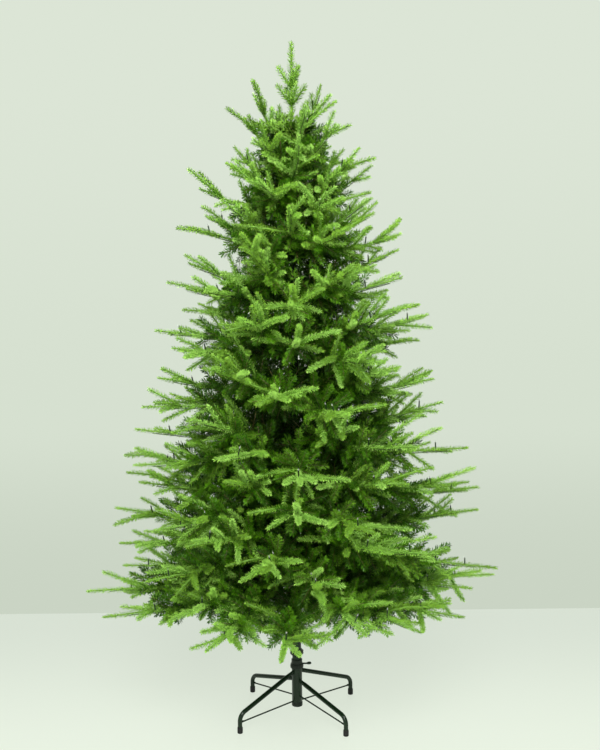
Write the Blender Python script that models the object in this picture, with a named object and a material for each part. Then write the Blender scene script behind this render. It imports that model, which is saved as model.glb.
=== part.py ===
"""Artificial Christmas tree on a folding four-legged stand, as separate closed solids.

Metres, +Z up. The origin is on the floor, on the axis of the pole. The tree faces -Y.
Run with: blender --background --python part.py
"""
import math
import random

import bmesh
import bpy
from mathutils import Matrix, Vector

# ---- driving dimensions of the stand ----
GAP = 0.0003                  # clearance between two pieces that touch
POST_RADIUS = 0.0165          # outside of the stand's upright tube
POST_WALL = 0.0015
POST_FOOT = 0.028             # height of the post's open lower end
POST_TOP = 0.170
CAP_FOOT = 0.153              # plastic cap on the post
CAP_TOP = 0.182
CAP_TOP_RADIUS = 0.0172
CAP_FOOT_RADIUS = 0.0208
CAP_BAND = 0.004              # straight band at the cap's foot
CAP_EDGE = (0.001, 0.003)     # chamfer of the cap's top: inwards, and down
SCREW_HEIGHT = 0.166          # thumbscrew through the side of the cap
SCREW_RADIUS = 0.003
SCREW_SHANK = 0.010
WING_LENGTH = 0.013
WING_HEIGHT = 0.009
WING_THICKNESS = 0.0032
WING_ROOT = 0.003             # length over which the round shank turns into the wing
WING_END = (0.002, 0.7, 0.6)  # rounded end: its length, and what is left of thickness and height

LEG_RADIUS = 0.007
LEG_AZIMUTHS = (-50.0, 40.0, 130.0, 220.0)       # degrees from +X
LEG_ROOT_HEIGHTS = (0.112, 0.141, 0.112, 0.141)  # the two pairs cross at different heights
LEG_ELBOW_HEIGHT = 0.058
FOOT_CIRCLE = 0.232           # from the axis to the middle of each foot
ELBOW_RADIUS = 0.030          # bend of the tube over the foot
FOOT_RADIUS = 0.0085
FOOT_HEIGHT = 0.020
FOOT_EDGE = 0.002             # height of the rubber foot's rounded edges
BRACE_RADIUS = 0.0024
BRACE_ROOT_HEIGHTS = (0.061, 0.040, 0.057, 0.044)
BRACE_END_HEIGHT = 0.034

# ---- driving dimensions of the pole: (foot, top, radius) of its three telescoped tubes ----
POLE_TUBES = ((0.030, 0.760, 0.0142), (0.760, 1.400, 0.0126), (1.400, 1.868, 0.0105))
POLE_TOP = POLE_TUBES[-1][1]
POLE_SHOULDER = 0.003         # height of the slope between two of its tubes
COLLAR_HEIGHT = 0.205         # lowest hinge collar, under the foliage
COLLAR_RADIUS = 0.0215
COLLAR_HALF_HEIGHT = 0.009
COLLAR_EDGE = (0.003, 0.005)  # chamfer of the flange: inwards, and up or down

# ---- driving dimensions of the crown ----
HEIGHT = 2.10
TIER_FOOT = 0.385             # height of the lowest tips
TIER_STEP = 0.160             # height between two tiers of boughs
MASSES_IN_TIER = (6, 6, 5, 5, 4, 4, 3, 3, 3, 2)
TIER_SEEDS = (363, 527, 65, 190, 313, 230, 356, 210, 125, 225)
BOUGHS_IN_MASS = (3, 3, 3, 3, 3, 3, 4, 4, 4, 4)
BOUGHS = {3: ((0.17, 0, 1.0, 0.4), (0.44, 2, 0.97, 0.7), (0.70, 1, 0.93, 1.0)),
          4: ((0.16, 0, 1.0, 0.3), (0.36, 2, 0.98, 0.5), (0.56, 1, 0.96, 0.75), (0.76, 3, 0.93, 1.0))}
# each bough of a mass: share of the tier's height, which slice of the mass, share of the reach,
# and share of the stem where it leaves
REACH = ((0.38, 0.678), (0.48, 0.672), (0.90, 0.545), (1.35, 0.412), (1.70, 0.278),
         (1.87, 0.185), (1.97, 0.115))           # (height, distance of the furthest tips)
SLOPE = ((0.38, 0.0), (0.60, 4.0), (0.90, 7.0), (1.30, 11.0), (1.55, 18.0), (1.75, 32.0),
         (1.97, 58.0))                           # (height, degrees that a bough climbs)
BEND_SHARE = 0.35             # where a bough bends, as a share of its reach
UNEVEN_REACH = (0.84, 1.0)    # seeded spread of the boughs' reach, as shares
UNEVEN_TURN = 0.08            # and of their azimuth, as a share of their slice
UNEVEN_SAG = (-0.004, 0.008)  # and of their sag at the bend
SPACE_MARGIN = 0.0025         # kept free along the sides of a mass's own space
POLE_MARGIN = 0.006

STEM_RADIUS = 0.0055
STEM_SHARE = 0.13             # length of a mass's stem, as a share of its reach
LIMB_RADIUS = 0.0045          # bare root of a bough
BARE_SHARE = 0.7              # bare part of a bough, as a share of the way to its first side tips
BRUSH_VALLEY = 0.010          # needles round a bough: between its side tips, and from row to row
BRUSH_NOTCH = 0.020
FIRST_TIPS = 0.19             # first and last place with side tips, as shares of a bough's curve
LAST_TIPS = 0.80
TIPS_PER_METRE = 9.0
TIP_ANGLES = (0.0, 90.0, 180.0)      # right, up and left, seen along the bough
VALLEY_ANGLES = (-90.0, 45.0, 135.0)  # between those
TIP_LENGTH = 0.150
LENGTH_AT_ROOT = 1.15         # length of side tips there, as a share of that, less towards the end
LENGTH_LOST = 0.5
SPREAD_AT_ROOT = 80.0         # degrees between a bough and its side tips, less towards its end
SPREAD_LOST = 46.0
SIZE_AT_AXIS = 0.58           # size of tips and needles, plus the bough's reach in metres, up to 1
UNEVEN_SPREAD = 8.0           # seeded spread of the side tips: degrees from the bough,
UNEVEN_ANGLE = 18.0           # degrees round it,
UNEVEN_LENGTH = (0.8, 1.1)    # and share of the length
SHORTER = (1.0, 0.8, 0.6, 0.4)    # a tip that leaves its space is tried shorter, then left out

LEADER_STEM_TOP = 2.02
LEADER_STEM_TAPER = 0.6       # radius of the leader's stem at its top, as a share of its foot's
LEADER_SPRAY_FOOT = 1.935
LEADER_HALF_WIDTH = 0.015
CROSS_BLADE_SHARE = 0.85      # length of the second of the leader's crossed blades
WHORL_HALF_WIDTH = 0.012
WHORLS = ((1.916, 4, 20.0, 0.078, 37.0), (1.968, 3, 60.0, 0.078, 33.0))
# side tips of the leader: (height, how many, first azimuth, length, degrees from upright)
BLADE_THICKNESS = 0.010
BLADE_RIDGE = 0.45            # where a blade's ridge is highest, as a share of its length
SIDE_EDGE = ((0.50, 1.0), (0.58, 0.45))
LEADER_EDGE = ((0.36, 1.0), (0.48, 0.5), (0.80, 0.8))
UNION_SOLVER = "MANIFOLD"


def between(table, height):
    """Value of a (height, value) table at a height, straight between its rows."""
    if height <= table[0][0]:
        return table[0][1]
    for (low, low_value), (high, high_value) in zip(table, table[1:]):
        if height <= high:
            return low_value + (high_value - low_value) * (height - low) / (high - low)
    return table[-1][1]


# ---------------------------------------------------------------- materials and objects
def srgb(hex_colour):
    """Linear RGBA of an sRGB hex colour."""
    channels = [int(hex_colour[i:i + 2], 16) / 255 for i in (0, 2, 4)]
    linear = [c / 12.92 if c <= 0.04045 else ((c + 0.055) / 1.055) ** 2.4 for c in channels]
    return (*linear, 1.0)


def material(name, hex_colour, roughness, metallic=0.0):
    made = bpy.data.materials.new(name)
    made.use_nodes = True
    shader = made.node_tree.nodes["Principled BSDF"]
    shader.inputs["Base Color"].default_value = srgb(hex_colour)
    shader.inputs["Roughness"].default_value = roughness
    shader.inputs["Metallic"].default_value = metallic
    return made


def place(name, mesh_data, finish, parent, sharp_angle=35.0):
    """Give a bmesh its named object, smooth on its round sides, with one material."""
    bmesh.ops.triangulate(mesh_data, faces=mesh_data.faces[:])
    mesh = bpy.data.meshes.new(name)
    mesh_data.to_mesh(mesh)
    mesh_data.free()
    mesh.materials.append(finish)
    mesh.shade_smooth()
    mesh.set_sharp_from_angle(angle=math.radians(sharp_angle))
    made = bpy.data.objects.new(name, mesh)
    bpy.context.collection.objects.link(made)
    made.parent = parent
    return made


# ---------------------------------------------------------------- shapes
def turned(profile, sides=20, closed=False):
    """Body of revolution about Z. Profile points are (radius, height), outer side upwards."""
    mesh_data = bmesh.new()
    rings = []
    for radius, height in profile:
        ring = []
        for i in range(sides):
            angle = 2 * math.pi * i / sides
            ring.append(mesh_data.verts.new((radius * math.cos(angle), radius * math.sin(angle), height)))
        rings.append(ring)
    pairs = list(zip(rings, rings[1:]))
    if closed:
        pairs.append((rings[-1], rings[0]))
    else:
        mesh_data.faces.new(list(reversed(rings[0])))
        mesh_data.faces.new(rings[-1])
    for low, high in pairs:
        for i in range(sides):
            j = (i + 1) % sides
            mesh_data.faces.new((low[i], low[j], high[j], high[i]))
    return mesh_data


def tube(path, radii, sides, first_cut=None, last_cut=None):
    """Closed limb along a path, mitred at its bends; a cut is the normal of an end face."""
    path = [Vector(point) for point in path]
    runs = [(b - a).normalized() for a, b in zip(path, path[1:])]
    mesh_data = bmesh.new()
    across = runs[0].orthogonal().normalized()
    rings = []
    for i, (point, radius) in enumerate(zip(path, radii)):
        before, after = runs[max(i - 1, 0)], runs[min(i, len(runs) - 1)]
        cut = (before + after).normalized()
        if i == 0 and first_cut:
            cut = Vector(first_cut)
        if i == len(path) - 1 and last_cut:
            cut = Vector(last_cut)
        across = (across - before * across.dot(before)).normalized()
        up = before.cross(across)
        ring = []
        for k in range(sides):
            angle = 2 * math.pi * k / sides
            spoke = (across * math.cos(angle) + up * math.sin(angle)) * radius
            slide = -spoke.dot(cut) / before.dot(cut)
            ring.append(mesh_data.verts.new(point + spoke + before * slide))
        rings.append(ring)
    mesh_data.faces.new(list(reversed(rings[0])))
    mesh_data.faces.new(rings[-1])
    for low, high in zip(rings, rings[1:]):
        for k in range(sides):
            j = (k + 1) % sides
            mesh_data.faces.new((low[k], low[j], high[j], high[k]))
    return mesh_data


def outward(azimuth_degrees, radius, height):
    angle = math.radians(azimuth_degrees)
    return Vector((radius * math.cos(angle), radius * math.sin(angle), height))


# ---------------------------------------------------------------- stand
def build_post(finish, parent):
    """Open upright tube that the pole stands in."""
    inner = POST_RADIUS - POST_WALL
    profile = [(inner, POST_FOOT), (POST_RADIUS, POST_FOOT), (POST_RADIUS, POST_TOP), (inner, POST_TOP)]
    place("stand_post", turned(profile, closed=True), finish, parent)


def build_cap(finish, parent):
    """Flared plastic cap over the post's top, with the pole passing through it."""
    around_post = POST_RADIUS + GAP
    around_pole = POLE_TUBES[0][2] + GAP
    shoulder = POST_TOP + GAP
    inwards, drop = CAP_EDGE
    profile = [(around_post, CAP_FOOT), (CAP_FOOT_RADIUS, CAP_FOOT), (CAP_FOOT_RADIUS, CAP_FOOT + CAP_BAND),
               (CAP_TOP_RADIUS, CAP_TOP - drop), (CAP_TOP_RADIUS - inwards, CAP_TOP),
               (around_pole, CAP_TOP), (around_pole, shoulder), (around_post, shoulder)]
    place("stand_cap", turned(profile, closed=True), finish, parent)


def build_thumbscrew(finish, parent):
    """Round shank with a flat wing, butting on the cap's right side."""
    start = CAP_FOOT_RADIUS + GAP
    shank_end = start + SCREW_SHANK
    wing_end = shank_end + WING_LENGTH
    half_wing, half_thick = WING_HEIGHT / 2, WING_THICKNESS / 2
    round_off, thinner, lower = WING_END
    sides = 10
    mesh_data = bmesh.new()
    rings = []
    for x, half_y, half_z in ((start, SCREW_RADIUS, SCREW_RADIUS), (shank_end, SCREW_RADIUS, SCREW_RADIUS),
                              (shank_end + WING_ROOT, half_thick, half_wing),
                              (wing_end - round_off, half_thick, half_wing),
                              (wing_end, half_thick * thinner, half_wing * lower)):
        ring = []
        for k in range(sides):
            angle = 2 * math.pi * k / sides
            place_on_ring = (x, half_y * math.cos(angle), SCREW_HEIGHT + half_z * math.sin(angle))
            ring.append(mesh_data.verts.new(place_on_ring))
        rings.append(ring)
    mesh_data.faces.new(list(reversed(rings[0])))
    mesh_data.faces.new(rings[-1])
    for low, high in zip(rings, rings[1:]):
        for k in range(sides):
            j = (k + 1) % sides
            mesh_data.faces.new((low[k], low[j], high[j], high[k]))
    place("thumbscrew", mesh_data, finish, parent)


def leg_path(azimuth, root_height):
    """Middle line of a leg: straight out from the post, round the elbow, down to the foot."""
    root = outward(azimuth, POST_RADIUS + GAP, root_height)
    foot = outward(azimuth, FOOT_CIRCLE, FOOT_HEIGHT + GAP)
    elbow = outward(azimuth, FOOT_CIRCLE, LEG_ELBOW_HEIGHT)
    along = (elbow - root).normalized()
    down = (foot - elbow).normalized()
    half_turn = along.angle(down) / 2
    reach_back = ELBOW_RADIUS * math.tan(half_turn)
    arc_start, arc_end = elbow - along * reach_back, elbow + down * reach_back
    path = [root]
    steps = 4
    for i in range(steps + 1):
        t = i / steps
        path.append(arc_start * (1 - t) ** 2 + elbow * 2 * t * (1 - t) + arc_end * t ** 2)
    path.append(foot)
    return path


def build_legs(steel, rubber, parent):
    """Four bent tubes, each with its rubber foot and its brace rod."""
    for i, azimuth in enumerate(LEG_AZIMUTHS):
        path = leg_path(azimuth, LEG_ROOT_HEIGHTS[i])
        radii = [LEG_RADIUS] * len(path)
        facing = outward(azimuth, 1.0, 0.0)
        leg = tube(path, radii, 10, first_cut=facing, last_cut=(0, 0, -1))
        place(f"leg_{i + 1}", leg, steel, parent)

        brace_end = FOOT_CIRCLE - LEG_RADIUS - GAP
        brace = tube([outward(azimuth, POST_RADIUS + GAP, BRACE_ROOT_HEIGHTS[i]),
                      outward(azimuth, brace_end, BRACE_END_HEIGHT)],
                     [BRACE_RADIUS] * 2, 8, first_cut=facing, last_cut=facing)
        place(f"brace_{i + 1}", brace, steel, parent)

        profile = [(FOOT_RADIUS - FOOT_EDGE / 2, 0.0), (FOOT_RADIUS, FOOT_EDGE),
                   (FOOT_RADIUS, FOOT_HEIGHT - FOOT_EDGE), (FOOT_RADIUS - FOOT_EDGE * 0.75, FOOT_HEIGHT)]
        foot = turned(profile, 12)
        bmesh.ops.translate(foot, verts=foot.verts[:], vec=outward(azimuth, FOOT_CIRCLE, 0.0))
        place(f"foot_{i + 1}", foot, rubber, parent)


def build_pole(finish, parent):
    """The trunk: three telescoped tubes as one body, from inside the post to the leader."""
    profile = []
    for i, (foot, top, radius) in enumerate(POLE_TUBES):
        profile += [(radius, foot + POLE_SHOULDER if i else foot), (radius, top)]
    place("pole", turned(profile, 16), finish, parent)


def build_collar(finish, parent):
    """Lowest hinge collar, a flanged ring round the pole."""
    bore = POLE_TUBES[0][2] + GAP
    foot, top = COLLAR_HEIGHT - COLLAR_HALF_HEIGHT, COLLAR_HEIGHT + COLLAR_HALF_HEIGHT
    inwards, rise = COLLAR_EDGE
    profile = [(bore, foot), (COLLAR_RADIUS - inwards, foot), (COLLAR_RADIUS, foot + rise),
               (COLLAR_RADIUS, top - rise), (COLLAR_RADIUS - inwards, top), (bore, top)]
    place("pole_collar", turned(profile, 16, closed=True), finish, parent)


# ---------------------------------------------------------------- the rule the crown grows by
def pole_radius_at(height):
    for foot, top, radius in POLE_TUBES:
        if height <= top:
            return radius
    return 0.0


def cone_height(level, radius):
    """Height, at a distance from the axis, of the cone on which level's boughs lie."""
    tip_height = TIER_FOOT + TIER_STEP * level
    climb = math.tan(math.radians(between(SLOPE, tip_height)))
    return tip_height + (radius - between(REACH, tip_height)) * climb


def in_own_space(point, tier, azimuth, half_angle):
    """True where a point lies between the mass's two cones and its two upright planes."""
    radius = math.hypot(point.x, point.y)
    if radius < pole_radius_at(point.z) + POLE_MARGIN:
        return False
    if not cone_height(tier, radius) + SPACE_MARGIN < point.z < cone_height(tier + 1, radius) - SPACE_MARGIN:
        return False
    turned_by = math.atan2(point.y, point.x) - azimuth
    turned_by = math.atan2(math.sin(turned_by), math.cos(turned_by))
    return abs(turned_by) < half_angle and radius * math.sin(half_angle - abs(turned_by)) > SPACE_MARGIN


def bezier(a, b, c, t):
    return a * (1 - t) ** 2 + b * 2 * t * (1 - t) + c * t ** 2


def bezier_run(a, b, c, t):
    return ((b - a) * (1 - t) + (c - b) * t).normalized()


def tip_direction(run, angle, spread):
    """Direction that leaves a bough by spread degrees, at an angle round it (90 is up)."""
    across = run.cross(Vector((0, 0, 1))).normalized()
    above = across.cross(run)
    angle, spread = math.radians(angle), math.radians(spread)
    outwards = across * math.cos(angle) + above * math.sin(angle)
    return (run * math.cos(spread) + outwards * math.sin(spread)).normalized()


def longest_inside(space, place, direction, length):
    """End of a side tip at the greatest length that stays in the mass's space, or None."""
    for share in SHORTER:
        end = place + direction * length * share
        if in_own_space(end, *space):
            return end
    return None


def plan_bough(dice, stem, space, slices, rise, own_slice, share, leaves_at):
    """One bough: its curve, and rows of side tips as (place on the curve, their three ends)."""
    tier, azimuth, half_angle = space
    level = tier + rise
    azimuth += half_angle * ((2 * own_slice + 1) / slices - 1)
    space = (tier, azimuth, half_angle / slices)
    azimuth += half_angle * dice.uniform(-UNEVEN_TURN, UNEVEN_TURN)
    reach = between(REACH, TIER_FOOT + TIER_STEP * level) * share * dice.uniform(*UNEVEN_REACH)
    sag = dice.uniform(*UNEVEN_SAG)
    middle = BEND_SHARE * reach
    tip = Vector((reach * math.cos(azimuth), reach * math.sin(azimuth), cone_height(level, reach)))
    bend = Vector((middle * math.cos(azimuth), middle * math.sin(azimuth), cone_height(level, middle) - sag))
    curve = (stem[0].lerp(stem[1], leaves_at), bend, tip)
    size = min(1.0, SIZE_AT_AXIS + reach)
    count = max(3, round(TIPS_PER_METRE * reach))
    rows = []
    for i in range(count):
        along = FIRST_TIPS + (LAST_TIPS - FIRST_TIPS) * i / (count - 1)
        place = bezier(*curve, along)
        run = bezier_run(*curve, along)
        ends = []
        for angle in TIP_ANGLES:
            spread = SPREAD_AT_ROOT - SPREAD_LOST * along + dice.uniform(-UNEVEN_SPREAD, UNEVEN_SPREAD)
            angle += dice.uniform(-UNEVEN_ANGLE, UNEVEN_ANGLE)
            direction = tip_direction(run, angle, spread)
            length = TIP_LENGTH * size * (LENGTH_AT_ROOT - LENGTH_LOST * along) * dice.uniform(*UNEVEN_LENGTH)
            ends.append(longest_inside(space, place, direction, length))
        rows.append((along, ends))
    return curve, rows, size


def plan_masses():
    """Every mass round the pole as (name, facing, stem, boughs); a stem is its two ends."""
    masses = []
    for tier, count in enumerate(MASSES_IN_TIER):
        dice = random.Random(TIER_SEEDS[tier])
        half_angle = math.pi / count
        first = dice.uniform(0, 2 * half_angle)
        for number in range(count):
            azimuth = first + 2 * half_angle * number
            facing = Vector((math.cos(azimuth), math.sin(azimuth), 0.0))
            reach = between(REACH, TIER_FOOT + TIER_STEP * (tier + 0.5))
            root_radius = pole_radius_at(cone_height(tier + 0.5, 0.0)) + GAP
            stem = [facing * radius + Vector((0, 0, cone_height(tier + 0.5, radius)))
                    for radius in (root_radius, root_radius + STEM_SHARE * reach)]
            space = (tier, azimuth, half_angle)
            slices = BOUGHS_IN_MASS[tier]
            boughs = [plan_bough(dice, stem, space, slices, *place) for place in BOUGHS[slices]]
            masses.append((f"foliage_{tier + 1}_{number + 1}", facing, stem, boughs))
    return masses


# ---------------------------------------------------------------- foliage solids
def blade(start, direction, length, half_width, roll, edge):
    """Spray of needles: a blade with a toothed outline and a ridge on both of its faces."""
    across = direction.cross(Vector((0, 0, 1)))
    if across.length < 0.1:
        across = direction.cross(Vector((1, 0, 0)))
    across = Matrix.Rotation(math.radians(roll), 3, direction) @ across.normalized()
    rise = across.cross(direction) * BLADE_THICKNESS / 2
    outline = [(0.0, 0.0), *edge, (1.0, 0.0)] + [(x, -y) for x, y in reversed(edge)]
    mesh_data = bmesh.new()
    rim = [mesh_data.verts.new(start + direction * x * length + across * y * half_width) for x, y in outline]
    for lift in (rise, -rise):
        ridge = mesh_data.verts.new(start + direction * BLADE_RIDGE * length + lift)
        for i, corner in enumerate(rim):
            mesh_data.faces.new((corner, rim[(i + 1) % len(rim)], ridge))
    bmesh.ops.recalc_face_normals(mesh_data, faces=mesh_data.faces[:])
    return mesh_data


def brush(curve, rows, size):
    """A bough wrapped in needles, with a pointed side tip at each row's right, top and left."""
    mesh_data = bmesh.new()

    def ring(along, angles, radius):
        """New corners round the bough at the given angles."""
        run = bezier_run(*curve, along)
        return [mesh_data.verts.new(bezier(*curve, along) + tip_direction(run, angle, 90) * radius)
                for angle in angles]

    def join_plain(low, high):
        for k in range(3):
            mesh_data.faces.new((low[k], low[k - 2], high[k - 2], high[k]))

    def join_to_tips(plain, valleys, tips):
        """Three spikes between a plain ring and a row: tip k stands between valleys k and k - 2."""
        for k in range(3):
            mesh_data.faces.new((plain[k], plain[k - 2], tips[k]))
            mesh_data.faces.new((plain[k], tips[k], valleys[k]))
            mesh_data.faces.new((plain[k - 2], valleys[k - 2], tips[k]))

    plain = ring(0.0, VALLEY_ANGLES, LIMB_RADIUS)
    mesh_data.faces.new(plain)
    bare_end = ring(BARE_SHARE * rows[0][0], VALLEY_ANGLES, LIMB_RADIUS)
    join_plain(plain, bare_end)
    plain = bare_end
    places = [along for along, _ in rows] + [1.0]
    for (along, ends), following in zip(rows, places[1:]):
        valleys = ring(along, VALLEY_ANGLES, BRUSH_VALLEY * size)
        tips = ring(along, TIP_ANGLES, BRUSH_VALLEY * size)
        for tip, end in zip(tips, ends):
            if end:
                tip.co = end
        join_to_tips(plain, valleys, tips)
        plain = ring((along + following) / 2, VALLEY_ANGLES, BRUSH_NOTCH * size)
        join_to_tips(plain, valleys, tips)
    point = mesh_data.verts.new(curve[2])
    for k in range(3):
        mesh_data.faces.new((plain[k], plain[k - 2], point))
    bmesh.ops.recalc_face_normals(mesh_data, faces=mesh_data.faces[:])
    return mesh_data


def fuse(name, shapes, finish, parent):
    """Join shapes into one closed body by one Boolean union on a collection."""
    body = place(name, shapes[0], finish, parent)
    pieces = bpy.data.collections.new(f"{name}_pieces")
    bpy.context.scene.collection.children.link(pieces)
    for shape in shapes[1:]:
        mesh = bpy.data.meshes.new("piece")
        shape.to_mesh(mesh)
        shape.free()
        pieces.objects.link(bpy.data.objects.new("piece", mesh))

    union = body.modifiers.new("union", "BOOLEAN")
    union.operation = "UNION"
    union.operand_type = "COLLECTION"
    union.collection = pieces
    union.solver = UNION_SOLVER
    bpy.context.view_layer.update()
    joined = bpy.data.meshes.new_from_object(body.evaluated_get(bpy.context.evaluated_depsgraph_get()))
    body.modifiers.clear()
    body.data = joined
    for piece in list(pieces.objects):
        bpy.data.objects.remove(piece)
    bpy.data.collections.remove(pieces)
    keep_outer_shell(joined)
    return body


def keep_outer_shell(mesh):
    """Drop loose scraps and fill sealed hollows: only the shell of the most faces stays."""
    mesh_data = bmesh.new()
    mesh_data.from_mesh(mesh)
    unseen = set(mesh_data.faces)
    shells = []
    while unseen:
        shell, front = set(), [unseen.pop()]
        while front:
            face = front.pop()
            shell.add(face)
            for edge in face.edges:
                for neighbour in edge.link_faces:
                    if neighbour in unseen:
                        unseen.remove(neighbour)
                        front.append(neighbour)
        shells.append(shell)
    shells.sort(key=len, reverse=True)
    for shell in shells[1:]:
        bmesh.ops.delete(mesh_data, geom=list(shell), context="FACES")
    mesh_data.to_mesh(mesh)
    mesh_data.free()


def build_mass(mass, finish, parent):
    """Stem and needle-wrapped boughs of one mass."""
    name, facing, stem, boughs = mass
    shapes = [tube(stem, [STEM_RADIUS, STEM_RADIUS], 3, first_cut=facing)]
    for bough in boughs:
        shapes.append(brush(*bough))
    return fuse(name, shapes, finish, parent)


def build_leader(finish, parent):
    """The top shoot: a stem on the pole's end, crossed blades, and two whorls of small tips."""
    up = Vector((0, 0, 1))
    foot = up * (POLE_TOP + GAP)
    shapes = [tube([foot, up * LEADER_STEM_TOP], [STEM_RADIUS, STEM_RADIUS * LEADER_STEM_TAPER], 3)]
    spray_foot = up * LEADER_SPRAY_FOOT
    length = HEIGHT - LEADER_SPRAY_FOOT
    for roll, share in ((0.0, 1.0), (90.0, CROSS_BLADE_SHARE)):
        shapes.append(blade(spray_foot, up, length * share, LEADER_HALF_WIDTH, roll, LEADER_EDGE))
    for height, count, first, length, tilt in WHORLS:
        lean = math.radians(tilt)
        for k in range(count):
            direction = outward(first + 360 * k / count, math.sin(lean), math.cos(lean))
            shapes.append(blade(up * height, direction, length, WHORL_HALF_WIDTH, 0.0, SIDE_EDGE))
    return fuse("foliage_leader", shapes, finish, parent)


def main():
    for old in list(bpy.data.objects):
        bpy.data.objects.remove(old)
    steel = material("stand_steel", "1f261d", 0.38, 0.0)
    plastic = material("cap_plastic", "171b16", 0.5)
    rubber = material("foot_rubber", "121311", 0.8)
    needles = material("needles", "4f8a24", 0.55)
    tree = bpy.data.objects.new("christmas_tree", None)
    bpy.context.collection.objects.link(tree)

    build_post(steel, tree)
    build_cap(plastic, tree)
    build_thumbscrew(steel, tree)
    build_legs(steel, rubber, tree)
    build_pole(steel, tree)
    build_collar(plastic, tree)
    for mass in plan_masses():
        build_mass(mass, needles, tree)
    build_leader(needles, tree)


main()
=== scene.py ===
import math
import random
from collections import namedtuple

import bmesh
import bpy
import numpy as np
from mathutils import Euler, Matrix, Vector


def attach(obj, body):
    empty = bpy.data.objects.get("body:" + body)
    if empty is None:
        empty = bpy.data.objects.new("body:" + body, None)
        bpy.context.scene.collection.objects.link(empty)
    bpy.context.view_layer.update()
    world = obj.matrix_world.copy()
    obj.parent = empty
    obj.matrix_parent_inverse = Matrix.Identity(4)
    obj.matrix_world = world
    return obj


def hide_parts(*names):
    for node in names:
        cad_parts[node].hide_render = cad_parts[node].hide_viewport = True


# Artificial Christmas tree on its folding stand, with its boughs, needles and light strings.
# Metres, +Z up. The origin is on the floor, on the axis of the pole. The tree faces -Y.
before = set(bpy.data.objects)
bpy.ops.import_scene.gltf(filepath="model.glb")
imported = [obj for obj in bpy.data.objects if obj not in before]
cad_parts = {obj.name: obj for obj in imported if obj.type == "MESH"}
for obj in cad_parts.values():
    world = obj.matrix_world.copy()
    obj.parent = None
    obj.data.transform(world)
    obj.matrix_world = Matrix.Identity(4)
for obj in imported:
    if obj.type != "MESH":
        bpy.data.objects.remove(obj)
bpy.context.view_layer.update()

# ---------------------------------------------------------------- camera
CAMERA_PLACE = (0.0, -3.83, 1.64)
CAMERA_DOWN = 8.06            # degrees below level
CAMERA_RIGHT = 0.27           # degrees to the right of +Y
CAMERA_ROLL = 0.5             # degrees that the camera leans to one side
SENSOR_HEIGHT = 30.0          # millimetres, as is the lens
LENS = 50.0


def place_camera():
    data = bpy.data.cameras.new("studio_camera")
    data.sensor_fit = "VERTICAL"
    data.sensor_height = SENSOR_HEIGHT
    data.lens = LENS
    camera = bpy.data.objects.new("studio_camera", data)
    bpy.context.scene.collection.objects.link(camera)
    aim = Euler((math.radians(90 - CAMERA_DOWN), 0.0, -math.radians(CAMERA_RIGHT))).to_matrix()
    roll = Matrix.Rotation(-math.radians(CAMERA_ROLL), 3, "Z")
    camera.matrix_world = Matrix.Translation(CAMERA_PLACE) @ (aim @ roll).to_4x4()
    bpy.context.scene.camera = camera
    bpy.context.scene.view_settings.view_transform = "Standard"


# ---------------------------------------------------------------- finishes
def srgb(hex_colour):
    """Linear RGBA of an sRGB hex colour."""
    channels = [int(hex_colour[i:i + 2], 16) / 255 for i in (0, 2, 4)]
    linear = [c / 12.92 if c <= 0.04045 else ((c + 0.055) / 1.055) ** 2.4 for c in channels]
    return (*linear, 1.0)


def add_node(tree, kind, settings=None, links=None):
    """Add a node, set its sockets and properties, and link its inputs from other nodes' outputs."""
    made = tree.nodes.new(kind)
    for key, value in (settings or {}).items():
        if key in made.inputs:
            made.inputs[key].default_value = value
        else:
            setattr(made, key, value)
    for socket, (source, output) in (links or {}).items():
        tree.links.new(source.outputs[output], made.inputs[socket])
    return made


def new_material(name):
    """A material, with its node tree, its shader and the node that gives a piece's own coordinates."""
    made = bpy.data.materials.new(name)
    made.use_nodes = True
    tree = made.node_tree
    shader = tree.nodes["Principled BSDF"]
    place = add_node(tree, "ShaderNodeTexCoord")
    return made, tree, shader, place


def mottled(name, hex_low, hex_high, patch_mm, roughness, settings=None, bump=None):
    """A finish whose colour wanders between two near shades; bump is its grain's size and height in mm."""
    made, tree, shader, place = new_material(name)
    patches = add_node(tree, "ShaderNodeTexNoise", {"Scale": 1000.0 / patch_mm, "Detail": 2.0},
                       {"Vector": (place, "Object")})
    colour = add_node(tree, "ShaderNodeMix", {"data_type": "RGBA", "A": srgb(hex_low), "B": srgb(hex_high)},
                      {"Factor": (patches, "Fac")})
    tree.links.new(colour.outputs["Result"], shader.inputs["Base Color"])
    shader.inputs["Roughness"].default_value = roughness
    for socket, value in (settings or {}).items():
        shader.inputs[socket].default_value = value
    if bump:
        grain_mm, height_mm = bump
        grain = add_node(tree, "ShaderNodeTexNoise", {"Scale": 1000.0 / grain_mm, "Detail": 3.0},
                         {"Vector": (place, "Object")})
        relief = add_node(tree, "ShaderNodeBump", {"Distance": height_mm / 1000.0, "Strength": 1.0},
                          {"Height": (grain, "Fac")})
        tree.links.new(relief.outputs["Normal"], shader.inputs["Normal"])
    return made


def uneven_gloss(tree, shader, place, patch_mm, smoothest, roughest):
    """Let the roughness wander between two values, in patches of a size in millimetres."""
    patches = add_node(tree, "ShaderNodeTexNoise", {"Scale": 1000.0 / patch_mm, "Detail": 1.0},
                       {"Vector": (place, "Object")})
    gloss = add_node(tree, "ShaderNodeMapRange", {"To Min": smoothest, "To Max": roughest},
                     {"Value": (patches, "Fac")})
    tree.links.new(gloss.outputs["Result"], shader.inputs["Roughness"])


SHEEN_PATCH = 30.0            # millimetres over which the gloss of the needles changes
SHEEN_VARIES = 0.07           # by how much, up and down


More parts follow.
